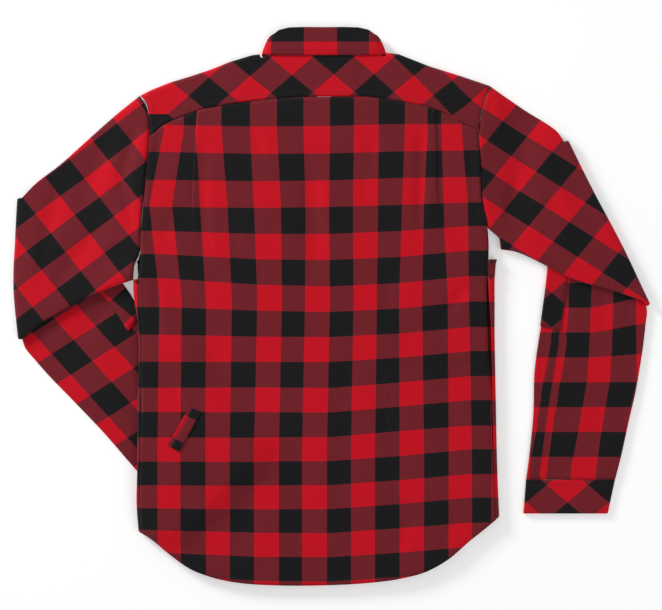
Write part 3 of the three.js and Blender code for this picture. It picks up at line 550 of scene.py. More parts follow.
def build_front(hand):
    edges = LEFT_EDGE if hand == "left" else RIGHT_EDGE
    inward = 1 if hand == "left" else -1
    overlap = BUTTON_HEIGHT + 0.3 + (0 if hand == "left" else LAID_ON)
    middle = CENTRE_X + inward * LAP
    top = 286.0 if hand == "left" else 302.0
    bottom = SIDE_ROWS[hand][0]
    armpit = ARMPIT[hand]
    low_rows = np.linspace(bottom, armpit, round((armpit - bottom) / 7) + 1)
    high_rows = np.linspace(armpit, top, round((top - armpit) / 7) + 1)[1:]
    sides = np.concatenate([low_rows, high_rows])
    outermost = look(edges, "y", sides, "side")
    seam = look(edges, "y", sides, "seam")
    above = sides > armpit + 0.1
    gap = np.abs(seam - outermost)
    seam_arc = np.where(gap >= EDGE_RADIUS, EDGE_RADIUS * math.pi / 2 + gap - EDGE_RADIUS,
                        EDGE_RADIUS * np.arccos(np.clip(1 - gap / EDGE_RADIUS, -1, 1))) - 0.7
    strip = 12
    steps = np.linspace(1, 0, strip + 1)[:-1]
    arc = lerp(-EDGE_RADIUS * math.pi / 2, seam_arc[:, None], steps[None, :])
    inset, height = around_edge(arc, EDGE_RADIUS)
    strip_x = outermost[:, None] + inward * inset
    strip_y = np.repeat(sides[:, None], strip, axis=1)
    hem_y = look(HEM, "x", strip_x, "y")
    strip_y = strip_y + (hem_y - sides[0]) * (1 - smoothstep(strip_y, bottom, bottom + 40))
    strip_z = height + arm_lift(strip_x, strip_y)
    shares = np.linspace(0, 1, 46)
    start = np.where(above, seam, outermost + inward * EDGE_RADIUS)
    flat_x = lerp(start[:, None], middle, shares[None, :])
    up = ((sides - bottom) / (top - bottom))[:, None]
    flat_y = lerp(look(HEM, "x", flat_x, "y"), look(FRONT_TOP, "x", flat_x, "y") - 1.3, up)
    ridge = overlap * (1 - smoothstep(np.abs(flat_x - CENTRE_X), LAP + 2, LAP + 34))
    flat_z = np.maximum(front_lift(flat_x, flat_y), ridge)
    flat_z = flat_z + 0.5 * np.maximum(0, ripple(flat_x, flat_y, 45, 6.0))
    x = np.concatenate([strip_x, flat_x], axis=1)
    y = np.concatenate([strip_y, flat_y], axis=1)
    z = np.concatenate([strip_z, flat_z], axis=1)
    keep = np.ones((len(sides) - 1, x.shape[1] - 1), bool)
    keep[sides[:-1] > armpit - 0.1, :strip] = False
    points = np.stack([x, y, z], axis=-1)
    checks = [(0, ALL, back_check(x, y))]
    return grid_object(f"front_{hand}_side", points, checks, keep, flipped=hand == "left")


def build_yoke():
    shares = np.linspace(0, 1, 106)
    neck_first = int(np.argmin(np.abs(shares - 0.345)))
    neck_last = int(np.argmin(np.abs(shares - 0.7075)))
    back_steps = np.linspace(0, 1, 16)
    arcs = np.linspace(1, -1, 13) * EDGE_RADIUS * math.pi / 2
    drops = np.linspace(0, YOKE_DROP - EDGE_RADIUS, 6)[1:]
    xs, ys, zs = [], [], []
    stations = [("back", share) for share in back_steps]
    stations += [("arc", arc) for arc in arcs[1:]]
    stations += [("drop", drop) for drop in drops]
    for kind, value in stations:
        inset = EDGE_RADIUS
        height = BODY_HEIGHT
        if kind == "arc":
            inset, height = (float(part) for part in around_edge(value, EDGE_RADIUS))
        if kind == "drop":
            inset, height = EDGE_RADIUS + value, 0.0
        left_y = lerp(255, 316 - EDGE_RADIUS, value) if kind == "back" else 316 - inset
        right_y = lerp(264, 331.5 - EDGE_RADIUS, value) if kind == "back" else 331.5 - inset
        left = look(LEFT_EDGE, "y", left_y, "seam")
        right = look(RIGHT_EDGE, "y", right_y, "seam")
        x = lerp(left, right, shares)
        shoulder = np.interp(x, SHOULDER["x"], SHOULDER["y"])
        if kind == "back":
            low = look(YOKE_SEAM, "x", x, "y") + 0.5
            neck = (x > NECK_LEFT + 8) & (x < NECK_RIGHT - 8)
            y = lerp(low, np.where(neck, NECK_Y, shoulder - EDGE_RADIUS), value)
            from_seam = y - low
            z = np.full(x.shape, height) + 0.35 * ripple(x, y, 30, 1.4)
            z = z + seam_band(from_seam, rows_at=(6.8,), width=8.0) - fold_depth(FOLDS, x, y) * 0.5
            side = np.minimum(x - left, right - x)
            z = z + seam_band(side) + 0.25 * ripple(x, y, 6, 4.5) * np.exp(-from_seam / 12)
        else:
            y = shoulder - inset
            z = np.full(x.shape, height) + (front_lift(x, y) if kind == "drop" else 0)
        xs.append(x)
        ys.append(y)
        zs.append(z)
    x, y, z = np.array(xs), np.array(ys), np.array(zs)
    keep = np.ones((len(x) - 1, len(shares) - 1), bool)
    keep[len(back_steps) - 1:, neck_first:neck_last] = False
    return grid_object("yoke_bias", np.stack([x, y, z], axis=-1), [(0, ALL, yoke_check(x, y))], keep)


# ---- Sleeves ----


def line_points(rows, along, shares):
    """Points between the over and the under line of a table, at a place along it."""
    steps = np.arange(len(rows["overX"]), dtype=float)
    over = np.array([curve(steps, rows["overX"], along), curve(steps, rows["overY"], along)])
    under = np.array([curve(steps, rows["underX"], along), curve(steps, rows["underY"], along)])
    return lerp(over[:, None], under[:, None], shares[None, :])


def ring_shares(length, half, count=34):
    edge = half / length
    rim = np.array([0.0, 0.06, 0.22, 0.5, 0.8]) * edge
    inner = np.linspace(edge * 1.25, 1 - edge * 1.25, count)
    return np.concatenate([rim, inner, 1 - rim[::-1]])


def ring_of(plan, centre_z, up, low, high, shares, half_share):
    """One ring: its top layer from over to under, then its bottom layer back."""
    from_edge = np.minimum(shares, 1 - shares) / half_share
    round_off = np.where(from_edge < 1, np.sqrt(np.clip(1 - (1 - from_edge) ** 2, 0, 1)), 1)
    middle = (low + high) / 2
    base = np.stack([plan[0], plan[1], np.full(plan[0].shape, centre_z)], axis=-1)
    top = base + up * (middle + (high - low) / 2 * round_off)[:, None]
    bottom = base + up * (middle - (high - low) / 2 * round_off)[:, None]
    return np.concatenate([top, bottom[1:-1][::-1]])


def crease_frame(hand):
    over_x, over_y, under_x, under_y, bulge = CREASE[hand]
    run = np.array([under_x - over_x, under_y - over_y])
    run = run / np.hypot(*run)
    away = np.array([run[1], -run[0]])
    if away[0] * (1 if hand == "right" else -1) < 0:
        away = -away
    return np.array([over_x, over_y]), run, away, bulge


def mirrored(hand, x, y):
    """A plan point turned over about the elbow crease."""
    start, _, away, _ = crease_frame(hand)
    past = (x - start[0]) * away[0] + (y - start[1]) * away[1]
    return x - 2 * past * away[0], y - 2 * past * away[1]


def build_sleeve(hand):
    outward = 1 if hand == "right" else -1
    upper, forearm = UPPER[hand], FOREARM[hand]
    edges = RIGHT_EDGE if hand == "right" else LEFT_EDGE
    vertical = np.array([0, 0, 1.0])
    rings, turned = [], []
    length = 275.0 if hand == "right" else 240.0
    shares = ring_shares(length, SLEEVE_HEIGHT / 2)
    half_share = SLEEVE_HEIGHT / 2 / length
    last = len(upper["overX"]) - 1
    for along in np.linspace(0, last, UPPER_RINGS)[:-1]:
        plan = line_points(upper, along, shares)
        mouth = line_points(upper, 0.0, shares)
        seam = look(edges, "y", mouth[1], "seam") + outward * 0.7
        bow = np.where(shares > 0.94, 0, seam - mouth[0]) * (1 - smoothstep(shares, 0.86, 0.94))
        plan[0] += bow * (1 - along / last) ** 1.5
        height = lerp(BODY_HEIGHT, SLEEVE_HEIGHT, float(smoothstep(along, 0.0, 2.2)))
        low = arm_lift(plan[0], plan[1])
        inside = smoothstep(np.minimum(shares, 1 - shares), 0.01, 0.06)
        ease = smoothstep(along, 0.0, 0.25)
        relief = 0.5 * ripple(plan[0], plan[1], 30, 9.0) + 0.2 * ripple(plan[0], plan[1], 11, 4.0)
        high = low + height + inside * (relief - fold_depth(FOLDS, plan[0], plan[1]) * (0.35 + 0.65 * ease))
        ring = ring_of(plan, 0.0, vertical, low, high, shares, half_share * height / SLEEVE_HEIGHT)
        rings.append(ring)
        turned.append(False)
    start, run, away, bulge = crease_frame(hand)
    end = start + run * np.hypot(CREASE[hand][2] - start[0], CREASE[hand][3] - start[1])
    for degrees in np.linspace(0, 180, CREASE_RINGS):
        turn = math.radians(degrees)
        uneven = 0.8 * np.sin(9 * shares + 2) * math.sin(turn)
        push = bulge * np.sin(math.pi * shares) - CREASE_RADIUS + uneven
        plan = lerp(start[:, None], end[:, None], shares[None, :]) + away[:, None] * push[None, :]
        up = vertical * math.cos(turn) + np.array([away[0], away[1], 0]) * math.sin(turn)
        low = np.full(shares.shape, FOLD_GAP / 2)
        high = np.full(shares.shape, CREASE_RADIUS)
        rings.append(ring_of(plan, CREASE_RADIUS, up, low, high, shares, half_share))
        turned.append(degrees > 90)
    last = len(forearm["overX"]) - 1
    for along in np.linspace(0, last, FOREARM_RINGS + 1)[1:]:
        plan = line_points(forearm, along, shares)
        patched = smoothstep(along, 1.6, 1.95) * (1 - smoothstep(along, 4.05, 4.4))
        dent = LAID_ON * patched * (1 - smoothstep(shares, 0.25, 0.34))
        inside = smoothstep(np.minimum(shares, 1 - shares), 0.01, 0.06)
        relief = np.maximum(0, fold_depth(FOREARM_FOLDS, plan[0], plan[1])) * inside
        relief = relief + 0.5 * (1 + ripple(plan[0], plan[1], 26, 7.0)) * inside
        low = FOLD_GAP / 2 + np.minimum(relief, 2.6)
        high = CREASE_RADIUS - dent
        ring = ring_of(plan, CREASE_RADIUS, -vertical, low, high, shares, half_share)
        rings.append(ring)
        turned.append(True)
    points = np.array(rings)
    top_count = len(shares) - 1
    x, y = points[..., 0], points[..., 1]
    mirror_x, mirror_y = mirrored(hand, x, y)
    past = np.array(turned)[:, None] & np.ones(x.shape, bool)
    upper_map = right_upper_check if hand == "right" else left_upper_check
    forearm_map = right_forearm_check if hand == "right" else left_forearm_check
    top_check = upper_map(np.where(past, mirror_x, x), np.where(past, mirror_y, y))
    bottom_check = forearm_map(np.where(past, x, mirror_x), np.where(past, y, mirror_y))
    checks = [(0, top_count - 1, top_check), (top_count, ALL, bottom_check)]
    piece = grid_object(f"sleeve_{hand}_twill", points, checks, ring=True, flipped=hand == "left")
    patch_first, patch_last = (
        len(points) - FOREARM_RINGS + round(row * FOREARM_RINGS / last) for row in (PATCH_FROM, PATCH_TO)
    )
    build_patch(hand, points[patch_first:patch_last])
    return piece


def build_patch(hand, points):
    """Bias patch round the over line of the elbow: the sleeve's own points, moved out."""
    count = points.shape[1]
    block = points[:, [index % count for index in range(-PATCH_REACH, PATCH_REACH + 1)]]
    d_row = np.gradient(block, axis=0)
    d_column = np.gradient(block, axis=1)
    normals = np.cross(d_column, d_row)
    normals /= np.linalg.norm(normals, axis=-1, keepdims=True)
    if hand == "left":
        normals = -normals
    shape = block + normals * (LAID_ON - 0.2)
    shape[..., 2] = np.clip(shape[..., 2], 0.0, SLEEVE_HEIGHT + 1.6)
    x, y = shape[..., 0], shape[..., 1]
    check = patch_check(hand)(x, y)
    piece = grid_object(f"elbow_{hand}_bias", shape, [(0, ALL, check)], flipped=hand == "left")
    finish_cloth(piece, f"elbow_patch_{hand}", LAID_CLOTH)


def build_cuff(hand):
    rows, end = FOREARM[hand], CUFF_END[hand]
    start = [rows[key][-1] for key in ("overX", "overY", "underX", "underY")]
    shares = ring_shares(CUFF_WIDTH, SLEEVE_HEIGHT / 2)
    half_share = SLEEVE_HEIGHT / 2 / CUFF_WIDTH
    rings = []
    for along in np.linspace(0.01, 1, 22):
        row = [lerp(a, b, along) for a, b in zip(start, end)]
        plan = lerp(np.array(row[:2])[:, None], np.array(row[2:])[:, None], shares[None, :])
        distance = along * CUFF_DEPTH
        press = 0.4 * np.exp(-(((distance - 8) / 1.4) ** 2)) + 0.4 * np.exp(-(((distance - 45) / 1.4) ** 2))
        low = FOLD_GAP / 2 + press + 0.25 * (1 + ripple(plan[0], plan[1], 18, 3.0))
        dent = np.where(np.abs(shares - 0.3) < 0.12, 1.9, 0.0)
        high = CREASE_RADIUS - dent
        rings.append(ring_of(plan, CREASE_RADIUS, np.array([0, 0, -1.0]), low, high, shares, half_share))
    points = np.array(rings)
    check = cuff_check(hand)(points[..., 0], points[..., 1])
    return grid_object(f"cuff_{hand}_bias", points, [(0, ALL, check)], ring=True, flipped=hand == "left")


# ---- Collar ----

COLLAR_X = -12.0
COLLAR_HALF = table("y half", (340, 93), (380, 93), (396, 87), (406, 81), (414, 74), (420, 70))
COLLAR = table(
    "turn x edgeX fold edge base",
    (0, 0, 0, 418.1, 376, 384.4), (0, 28, 28, 418.5, 376, 384.4), (0, 52, 54, 417.8, 376, 384.4),
    (0, 68, 74, 414, 376.5, 384.4), (30, 74, 82, 409, 377, 384.4), (90, 80, 93, 405, 378, 383),
    (150, 78, 90, 401, 372, 346), (180, 70, 84, 384, 335, 328), (180, 54, 78, 358, 292, 317),
    (180, 34, 66, 340, 262, 305), (180, 11, 50, 331, 275, 298.5),
)
LEAF_RADIUS, STAND_RADIUS, COLLAR_MIDDLE = 7.0, 3.9, 7.0


def collar_rows(count=46):
    steps = np.arange(len(COLLAR["turn"]), dtype=float)
    along = np.linspace(0, steps[-1], count)
    return {key: np.interp(along, steps, column) for key, column in COLLAR.items()}


def collar_place(rows, radius, y, outer_share, hand):
    turn = np.radians(rows["turn"])
    half = look(COLLAR_HALF, "y", y, "half")
    around = half - LEAF_RADIUS + radius * np.sin(turn)
    given = lerp(rows["x"], rows["edgeX"], outer_share)
    weight = np.sin(turn) ** 2
    weight = np.where((rows["turn"] > 0) & (rows["turn"] < 180), np.maximum(weight, 0.35), 0)
    x = lerp(given, around, np.clip(weight * 1.3, 0, 1))
    return np.stack([COLLAR_X + hand * x, y, COLLAR_MIDDLE + radius * np.cos(turn)], axis=-1)


def both_halves(column_of):
    rows = collar_rows()
    left, right = column_of(rows, -1), column_of(rows, 1)
    return np.concatenate([left[:, ::-1], right[:, 1:]], axis=1)


def leaf_grid(rows, hand):
    roll = (LEAF_RADIUS - STAND_RADIUS + CLOTH) / 2
    layers = []
    for share in np.linspace(0, 0.96, 12):
        y = lerp(rows["edge"], rows["fold"] - roll, share)
        layers.append(collar_place(rows, LEAF_RADIUS, y, 1 - share, hand))
    for degrees in np.linspace(90, -90, 9):
        turn = math.radians(degrees)
        y = rows["fold"] - roll + roll * math.cos(turn)
        layers.append(collar_place(rows, LEAF_RADIUS - roll + roll * math.sin(turn), y, 0.0, hand))
    layers.append(collar_place(rows, LEAF_RADIUS - 2 * roll, rows["fold"] - roll - 3, 0.0, hand))
    return np.array(layers)


def stand_grid(rows, hand):
    roll = (LEAF_RADIUS - STAND_RADIUS + CLOTH) / 2
    top = rows["fold"] - roll - 4.2
    layers = [collar_place(rows, STAND_RADIUS - CLOTH, lerp(top, rows["base"], share), 0.0, hand)
              for share in np.linspace(0, 1, 6)]
    return np.array(layers)


def build_collar():
    leaf = both_halves(leaf_grid)
    leaf[..., 2] += 0.3 * ripple(leaf[..., 0], leaf[..., 1], 22, 2.0) * (leaf[..., 2] > 8)
    stand = both_halves(stand_grid)
    return [
        grid_object(f"collar_{part}_twill", points, [(0, ALL, collar_check(points[..., 0], points[..., 1]))])
        for part, points in (("leaf", leaf), ("stand", stand))
    ]


# ---- Laid-on pieces ----

WELT = np.array([(-245, -208), (-228.5, -218), (-195.5, -158), (-213.5, -150.5)], float)


def corner_grid(corners, across, along):
    u, v = np.meshgrid(np.linspace(0, 1, across), np.linspace(0, 1, along))
    low = lerp(corners[0], corners[1], u[..., None])
    high = lerp(corners[3], corners[2], u[..., None])
    plan = lerp(low, high, v[..., None])
    return plan[..., 0], plan[..., 1], u, v


def build_welt():
    x, y, u, v = corner_grid(WELT, 17, 45)
    crown = 0.5 * np.sin(math.pi * np.clip(v, 0.02, 0.98)) ** 0.3
    groove = 0.7 * np.exp(-(((u - 0.27) / 0.05) ** 2)) + 0.4 * np.exp(-(((v - 0.09) / 0.02) ** 2))
    groove = groove + 0.4 * np.exp(-(((v - 0.91) / 0.02) ** 2))
    z = back_height(x, y) + LAID_ON - 0.4 + crown - groove
    check = np.stack([np.where(u < 0.27, 1.5, 0.5), 0.62 + v * 1.76], axis=-1)
    return grid_object("welt_strip", np.stack([x, y, z], axis=-1), [(0, ALL, check)])


def build_rear_pocket():
    x, y, _, _ = corner_grid(POCKET + np.array([(3, 3), (-6, 3), (-6, -3), (3, -3)]), 26, 34)
    z = back_height(x, y) - pocket_press(x, y) - CLOTH - 0.6
    return grid_object("rear_pocket_bag", np.stack([x, y, z], axis=-1), [(0, ALL, back_check(x, y))])


# ---- Finishes ----


def principled(name, roughness, metallic=0.0):
    material = bpy.data.materials.new(name)
    material.use_nodes = True
    shader = material.node_tree.nodes["Principled BSDF"]
    shader.inputs["Roughness"].default_value = roughness
    shader.inputs["Metallic"].default_value = metallic
    return material, shader


def node_maths(tree, operation, first, second=None, third=None):
    node = tree.nodes.new("ShaderNodeMath")
    node.operation = operation
    for socket, value in zip(node.inputs, (first, second, third)):
        if value is None:
            continue
        if isinstance(value, (int, float)):
            socket.default_value = value
        else:
            tree.links.new(value, socket)
    return node.outputs[0]


def mixed_colour(tree, share, first, second):
    node = tree.nodes.new("ShaderNodeMix")
    node.data_type = "RGBA"
    tree.links.new(share, node.inputs["Factor"])
    for socket, value in ((node.inputs["A"], first), (node.inputs["B"], second)):
        if isinstance(value, tuple):
            socket.default_value = (*value, 1)
        else:
            tree.links.new(value, socket)
    return node.outputs["Result"]


RED = (0.60, 0.0006, 0.0110)
BLACK = (0.0060, 0.0052, 0.0062)


def check_finish():
    """Brushed twill in red and black: counts of squares come from the Check map."""
    material, shader = principled("buffalo_check_twill", 0.88)
    tree = material.node_tree
    squares = tree.nodes.new("ShaderNodeUVMap")
    squares.uv_map = "Check"
    apart = tree.nodes.new("ShaderNodeSeparateXYZ")
    tree.links.new(squares.outputs["UV"], apart.inputs[0])
    stripes = []
    for axis in ("X", "Y"):
        halved = node_maths(tree, "MULTIPLY", apart.outputs[axis], 0.5)
        part = node_maths(tree, "FRACT", halved)
        stripes.append(node_maths(tree, "LESS_THAN", part, 0.5))
    both = node_maths(tree, "ADD", stripes[0], stripes[1])
    any_dark = node_maths(tree, "GREATER_THAN", both, 0.5)
    all_dark = node_maths(tree, "GREATER_THAN", both, 1.5)
    # Twill: fine diagonal ribs, a thread's width apart
    diagonal = node_maths(tree, "ADD", apart.outputs["X"], apart.outputs["Y"])
    rib = node_maths(tree, "SINE", node_maths(tree, "MULTIPLY", diagonal, 2 * math.pi * 22))
    rib = node_maths(tree, "MULTIPLY_ADD", rib, 0.5, 0.5)
    melange = tree.nodes.new("ShaderNodeTexNoise")
    melange.inputs["Scale"].default_value = 9.0
    melange.inputs["Detail"].default_value = 5.0
    tree.links.new(squares.outputs["UV"], melange.inputs["Vector"])
    fine = tree.nodes.new("ShaderNodeTexNoise")
    fine.inputs["Scale"].default_value = 60.0
    fine.inputs["Detail"].default_value = 2.0
    tree.links.new(squares.outputs["UV"], fine.inputs["Vector"])
    mixed = mixed_colour(tree, rib, (0.150, 0.0070, 0.0140), (0.205, 0.0140, 0.0230))
    ground = mixed_colour(tree, any_dark, RED, mixed)
    ground = mixed_colour(tree, all_dark, ground, BLACK)
    shade = node_maths(tree, "MULTIPLY_ADD", melange.outputs["Fac"], 0.24, 0.88)
    tint = tree.nodes.new("ShaderNodeVectorMath")
    tint.operation = "SCALE"
    tree.links.new(ground, tint.inputs[0])
    tree.links.new(shade, tint.inputs["Scale"])
    tree.links.new(tint.outputs[0], shader.inputs["Base Color"])
    shader.inputs["Sheen Weight"].default_value = 0.12
    shader.inputs["Sheen Roughness"].default_value = 0.5
    shader.inputs["Specular IOR Level"].default_value = 0.18
    height = node_maths(tree, "ADD", rib, node_maths(tree, "MULTIPLY", fine.outputs["Fac"], 0.8))
    bump = tree.nodes.new("ShaderNodeBump")
    bump.inputs["Strength"].default_value = 0.25
    bump.inputs["Distance"].default_value = 0.0003
    tree.links.new(height, bump.inputs["Height"])
    tree.links.new(bump.outputs["Normal"], shader.inputs["Normal"])
    return material


def plain_finish(name, colour, roughness, metallic=0.0, grain=400.0, strength=0.1):
    """One colour with a fine uneven grain in colour and relief."""
    material, shader = principled(name, roughness, metallic)
    tree = material.node_tree
    place = tree.nodes.new("ShaderNodeTexCoord")
    specks = tree.nodes.new("ShaderNodeTexNoise")
    specks.inputs["Scale"].default_value = grain
    tree.links.new(place.outputs["Object"], specks.inputs["Vector"])
    lighter = tuple(min(1, part * 1.6 + 0.004) for part in colour)
    tree.links.new(mixed_colour(tree, specks.outputs["Fac"], colour, lighter), shader.inputs["Base Color"])
    bump = tree.nodes.new("ShaderNodeBump")
    bump.inputs["Strength"].default_value = strength
    bump.inputs["Distance"].default_value = 0.0002
    tree.links.new(specks.outputs["Fac"], bump.inputs["Height"])
    tree.links.new(bump.outputs["Normal"], shader.inputs["Normal"])
    return material


CLOTH_FINISH = check_finish()
THREAD = plain_finish("black_thread", (0.012, 0.010, 0.012), 0.8)
RESIN = plain_finish("button_resin", (0.02, 0.016, 0.016), 0.35)
LACQUER = plain_finish("black_lacquered_metal", (0.012, 0.012, 0.013), 0.32, 0.6)

# ---- Making the pieces ----

# Width, length and area of each cut, from the outlines above: hidden pleat layers, rounded
# edges and both layers of a sleeve are counted, seam allowances aren't
FRONT_CUT = {"left": ((0.30, 0.767), 0.207), "right": ((0.30, 0.765), 0.205)}
SLEEVE_CUT = {"left": ((0.46, 0.72), 0.214), "right": ((0.44, 0.68), 0.207)}
CUFF_CUT = {"left": ((0.276, 0.051), 0.0139), "right": ((0.28, 0.051), 0.0139)}

finish_cloth(build_back(), "back_panel")
for side in ("left", "right"):
    for build, node, cut, held in (
        (build_front, "front", FRONT_CUT, "laid"), (build_sleeve, "sleeve", SLEEVE_CUT, "folded"),
        (build_cuff, "cuff", CUFF_CUT, "laid"),
    ):
        finish_cloth(build(side), f"{node}_{side}")
finish_cloth(build_yoke(), "yoke")
leaf_piece, stand_piece = build_collar()
finish_cloth(leaf_piece, "collar_leaf")
finish_cloth(stand_piece, "collar_stand")
finish_cloth(build_welt(), "welt", LAID_CLOTH)
finish_cloth(build_rear_pocket(), "rear_pocket", LAID_CLOTH)

# ---- Stitching ----


def thread_stitch():
    """One stitch: a short rounded length of thread along X."""
    mesh = bpy.data.meshes.new("thread_stitch")
    form = bmesh.new()
    bmesh.ops.create_uvsphere(form, u_segments=6, v_segments=4, radius=1.0)
    bmesh.ops.scale(form, vec=Vector(THREAD_SIZE) * MM, verts=form.verts)
    form.to_mesh(mesh)
    form.free()
    return bpy.data.objects.new("thread_stitch", mesh)


def stitch_tree(stitch):
    """Geometry nodes that lay stitches along the edges of a mesh."""
    tree = bpy.data.node_groups.new("topstitch", "GeometryNodeTree")
    face = tree.interface
    face.new_socket("Geometry", in_out="INPUT", socket_type="NodeSocketGeometry")
    face.new_socket("Pitch", in_out="INPUT", socket_type="NodeSocketFloat")
    face.new_socket("Geometry", in_out="OUTPUT", socket_type="NodeSocketGeometry")
    nodes, links = tree.nodes, tree.links
    start, end = nodes.new("NodeGroupInput"), nodes.new("NodeGroupOutput")
    path = nodes.new("GeometryNodeMeshToCurve")
    points = nodes.new("GeometryNodeResampleCurve")
    points.mode = "LENGTH"
    info = nodes.new("GeometryNodeObjectInfo")
    info.inputs["Object"].default_value = stitch
    tangent = nodes.new("GeometryNodeInputTangent")
    turn = nodes.new("FunctionNodeAlignRotationToVector")
    turn.axis = "X"
    place = nodes.new("GeometryNodeInstanceOnPoints")
    realize = nodes.new("GeometryNodeRealizeInstances")
    colour = nodes.new("GeometryNodeSetMaterial")
    colour.inputs["Material"].default_value = THREAD
    links.new(start.outputs["Geometry"], path.inputs["Mesh"])
    links.new(path.outputs["Curve"], points.inputs["Curve"])
    links.new(start.outputs["Pitch"], points.inputs["Length"])
    links.new(points.outputs["Curve"], place.inputs["Points"])
    links.new(info.outputs["Geometry"], place.inputs["Instance"])
    links.new(tangent.outputs["Tangent"], turn.inputs["Vector"])
    links.new(turn.outputs["Rotation"], place.inputs["Rotation"])
    links.new(place.outputs["Instances"], realize.inputs["Geometry"])
    links.new(realize.outputs["Geometry"], colour.inputs["Geometry"])
    links.new(colour.outputs["Geometry"], end.inputs["Geometry"])
    return tree


STITCH = thread_stitch()
TOPSTITCH = stitch_tree(STITCH)


def cloth_surface():
    """All the outer sides together, to lay thread on."""
    vertices, faces = [], []
    for piece in PIECES:
        if piece.name in ("rear_pocket_bag", "collar_stand_twill"):
            continue
        base = len(vertices)
        vertices.extend(vertex.co.copy() for vertex in piece.data.vertices)
        faces.extend([base + index for index in face.vertices] for face in piece.data.polygons)
    return BVHTree.FromPolygons(vertices, faces)


SURFACE = cloth_surface()


def on_cloth(x, y):
    """A place on the upper side of whatever cloth is there."""
    hit = SURFACE.ray_cast(Vector((x * MM, y * MM, 0.1)), Vector((0, 0, -1)))[0]
    return None if hit is None else hit + Vector((0, 0, THREAD_RISE * MM))


def stitched(name, paths):
    """Rows of stitches along paths in plan, laid on the cloth."""
    mesh = bpy.data.meshes.new(name)
    vertices, edges = [], []
    for path in paths:
        path = np.array(path, float)
        lengths = np.concatenate([[0], np.cumsum(np.hypot(*np.diff(path, axis=0).T))])
        places = np.arange(0, lengths[-1], 1.5)
        previous = None
        for x, y in zip(np.interp(places, lengths, path[:, 0]), np.interp(places, lengths, path[:, 1])):
            spot = on_cloth(x, y)
            if spot is None:
                previous = None
                continue
            vertices.append(spot)
            if previous is not None:
                edges.append((previous, len(vertices) - 1))
            previous = len(vertices) - 1
    mesh.from_pydata(vertices, edges, [])
    rows = bpy.data.objects.new(name + "_rows", mesh)
    bpy.context.scene.collection.objects.link(rows)
    modifier = rows.modifiers.new("Topstitch", "NODES")
    modifier.node_group = TOPSTITCH
    pitch = next(item for item in TOPSTITCH.interface.items_tree if item.name == "Pitch")
    modifier[pitch.identifier] = STITCH_PITCH * MM
    graph = bpy.context.evaluated_depsgraph_get()
    made = bpy.data.meshes.new_from_object(rows.evaluated_get(graph))
    bpy.data.objects.remove(rows)
    thread = bpy.data.objects.new(name, made)
    bpy.context.scene.collection.objects.link(thread)
    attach(thread, "root")
    return thread


def along_table(rows, low, high, offset, count=120):
    x = np.linspace(low, high, count)
    return np.stack([x, look(rows, "x", x, "y") + offset], axis=-1)


def armhole_path(edges, low, high, inward):
    y = np.linspace(low, high, 90)
    return np.stack([look(edges, "y", y, "seam") + inward, y], axis=-1)


def ring_path(hand, along):
    rows, end = FOREARM[hand], CUFF_END[hand]
    start = [rows[key][-1] for key in ("overX", "overY", "underX", "underY")]
    row = [lerp(a, b, along) for a, b in zip(start, end)]
    return [row[:2], row[2:]]


stitched("stitch_yoke", [along_table(YOKE_SEAM, -268, 215, 7.3)])
stitched("stitch_hem", [along_table(HEM, -284, 246, 7.0)])
stitched("stitch_armholes", [
    armhole_path(LEFT_EDGE, 92, 306, 2.2), armhole_path(LEFT_EDGE, 96, 300, 7.8),
    armhole_path(RIGHT_EDGE, 100, 322, -2.2), armhole_path(RIGHT_EDGE, 104, 318, -7.8),
])
stitched("stitch_pocket", [
    [POCKET[2], POCKET[3], POCKET[0], (162, -293), POCKET[1]],
])
stitched("stitch_collar", [[(-97, 383.5), (-60, 383), (-12, 383), (40, 383), (72, 384)]])
stitched("stitch_cuffs", [ring_path("right", 0.17), ring_path("right", 0.91)])
stitched("stitch_welt", [
    [(-241.5, -205.5), (-212.5, -155.5)], [(-228, -212), (-199, -161)],
    [(-240, -204), (-229, -211)], [(-211, -157), (-200.5, -162)],
])
stitched("stitch_forearms", [
    [(343.5, -4), (339.5, -40), (333.5, -100), (325.5, -150), (320.5, -190), (312.5, -245), (310, -259)],
    [(336.5, -30), (332, -70), (326.5, -110), (318, -155), (313, -195), (305.5, -245), (303, -259)],
    [(317, -21), (339, -21), (344, -14), (345, 10), (346, 30), (345, 50)],
])


# ---- Eyelets and buttons ----


def turned_ring(name, spots, profile, finish, nodes, segments=28):
    """Rings turned from one profile of (radius, height), at several spots."""
    form = bmesh.new()
    for x, y, z in spots:
        loops = []
        for step in range(segments):
            turn = 2 * math.pi * step / segments
            loops.append([
                form.verts.new(((x + r * math.cos(turn)) * MM, (y + r * math.sin(turn)) * MM, (z + h) * MM))
                for r, h in profile
            ])
        for here, there in zip(loops, loops[1:] + loops[:1]):
            for index in range(len(profile)):
                after = (index + 1) % len(profile)
                form.faces.new((here[index], there[index], there[after], here[after]))
    bmesh.ops.recalc_face_normals(form, faces=form.faces)
    mesh = bpy.data.meshes.new(name)
    form.to_mesh(mesh)
    form.free()
    mesh.polygons.foreach_set("use_smooth", [True] * len(mesh.polygons))
    mesh.materials.append(finish)
    piece = bpy.data.objects.new(name, mesh)
    bpy.context.scene.collection.objects.link(piece)
    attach(piece, "root")
    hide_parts(*nodes)
    return piece


def top_of(x, y):
    spot = on_cloth(x, y)
    return BODY_HEIGHT if spot is None else spot.z / MM


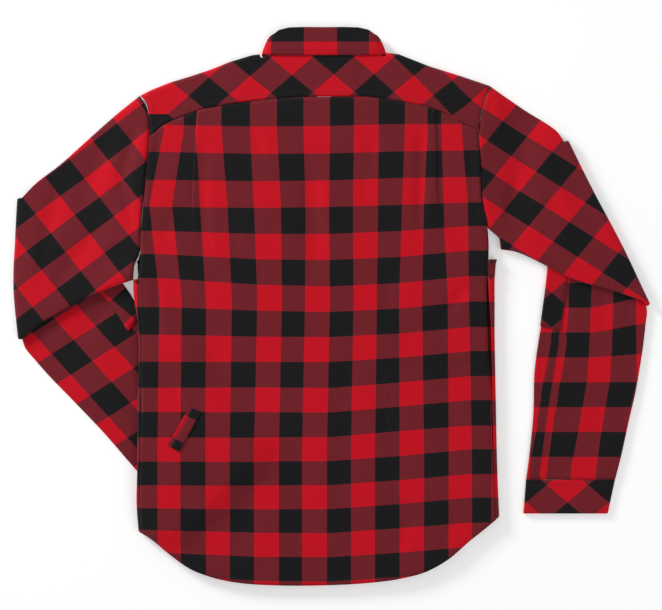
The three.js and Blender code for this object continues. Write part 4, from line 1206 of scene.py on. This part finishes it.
EYELET_SPOTS = [(-290.5, 66), (-291.5, 37), (239.5, 66), (239.0, 44)]
EYELET_PROFILE = [(1.0, 0.0), (1.3, 0.7), (1.9, 1.0), (2.6, 0.8), (3.0, 0.1), (2.6, -0.2), (1.2, -0.3)]
turned_ring(
    "vent_eyelets", [(x, y, top_of(x, y)) for x, y in EYELET_SPOTS], EYELET_PROFILE, LACQUER,
    ["eyelet_left_upper", "eyelet_left_lower", "eyelet_right_upper", "eyelet_right_lower"],
)
for node in [f"button_{index}" for index in range(1, 8)] + ["cuff_button_left", "cuff_button_right"]:
    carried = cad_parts[node]
    carried.data.materials.clear()
    carried.data.materials.append(RESIN)

# ---- Stage, light and camera ----


def stage():
    mesh = bpy.data.meshes.new("floor")
    reach = 4.0
    turns = [(-1, -1), (1, -1), (1, 1), (-1, 1)]
    corners = [(across * reach, along * reach, FLOOR_LEVEL) for across, along in turns]
    mesh.from_pydata(corners, [], [(0, 1, 2, 3)])
    floor = bpy.data.objects.new("floor", mesh)
    bpy.context.scene.collection.objects.link(floor)
    material, shader = principled("pale_floor", 0.9)
    shader.inputs["Base Color"].default_value = (0.86, 0.86, 0.86, 1)
    shader.inputs["Emission Color"].default_value = (1, 1, 1, 1)
    tree = material.node_tree
    rays = tree.nodes.new("ShaderNodeLightPath")
    seen = node_maths(tree, "MAXIMUM", rays.outputs["Is Camera Ray"], rays.outputs["Is Glossy Ray"])
    glow = node_maths(tree, "MULTIPLY", seen, 0.3)
    tree.links.new(glow, shader.inputs["Emission Strength"])
    mesh.materials.append(material)


def lamp(name, place, target, size, power):
    light = bpy.data.lights.new(name, "AREA")
    light.shape = "DISK"
    light.size = size
    light.energy = power
    lamp_object = bpy.data.objects.new(name, light)
    lamp_object.location = place
    lamp_object.rotation_euler = (Vector(target) - Vector(place)).to_track_quat("-Z", "Y").to_euler()
    bpy.context.scene.collection.objects.link(lamp_object)


def camera():
    data = bpy.data.cameras.new("camera")
    data.lens = 85
    data.sensor_width = 36
    view = bpy.data.objects.new("camera", data)
    view.location = (-0.0015, 0.0015, 2.355)
    bpy.context.scene.collection.objects.link(view)
    bpy.context.scene.camera = view


stage()
lamp("key", (-2.3, 1.9, 1.15), (0, 0, 0), 0.9, 78)
lamp("fill", (1.8, -1.2, 2.4), (0, 0, 0), 2.2, 22)
world = bpy.data.worlds.new("studio")
world.use_nodes = True
world.node_tree.nodes["Background"].inputs["Color"].default_value = (1, 1, 1, 1)
world.node_tree.nodes["Background"].inputs["Strength"].default_value = 0.42
bpy.context.scene.world = world
bpy.context.scene.view_settings.view_transform = "Standard"
camera()
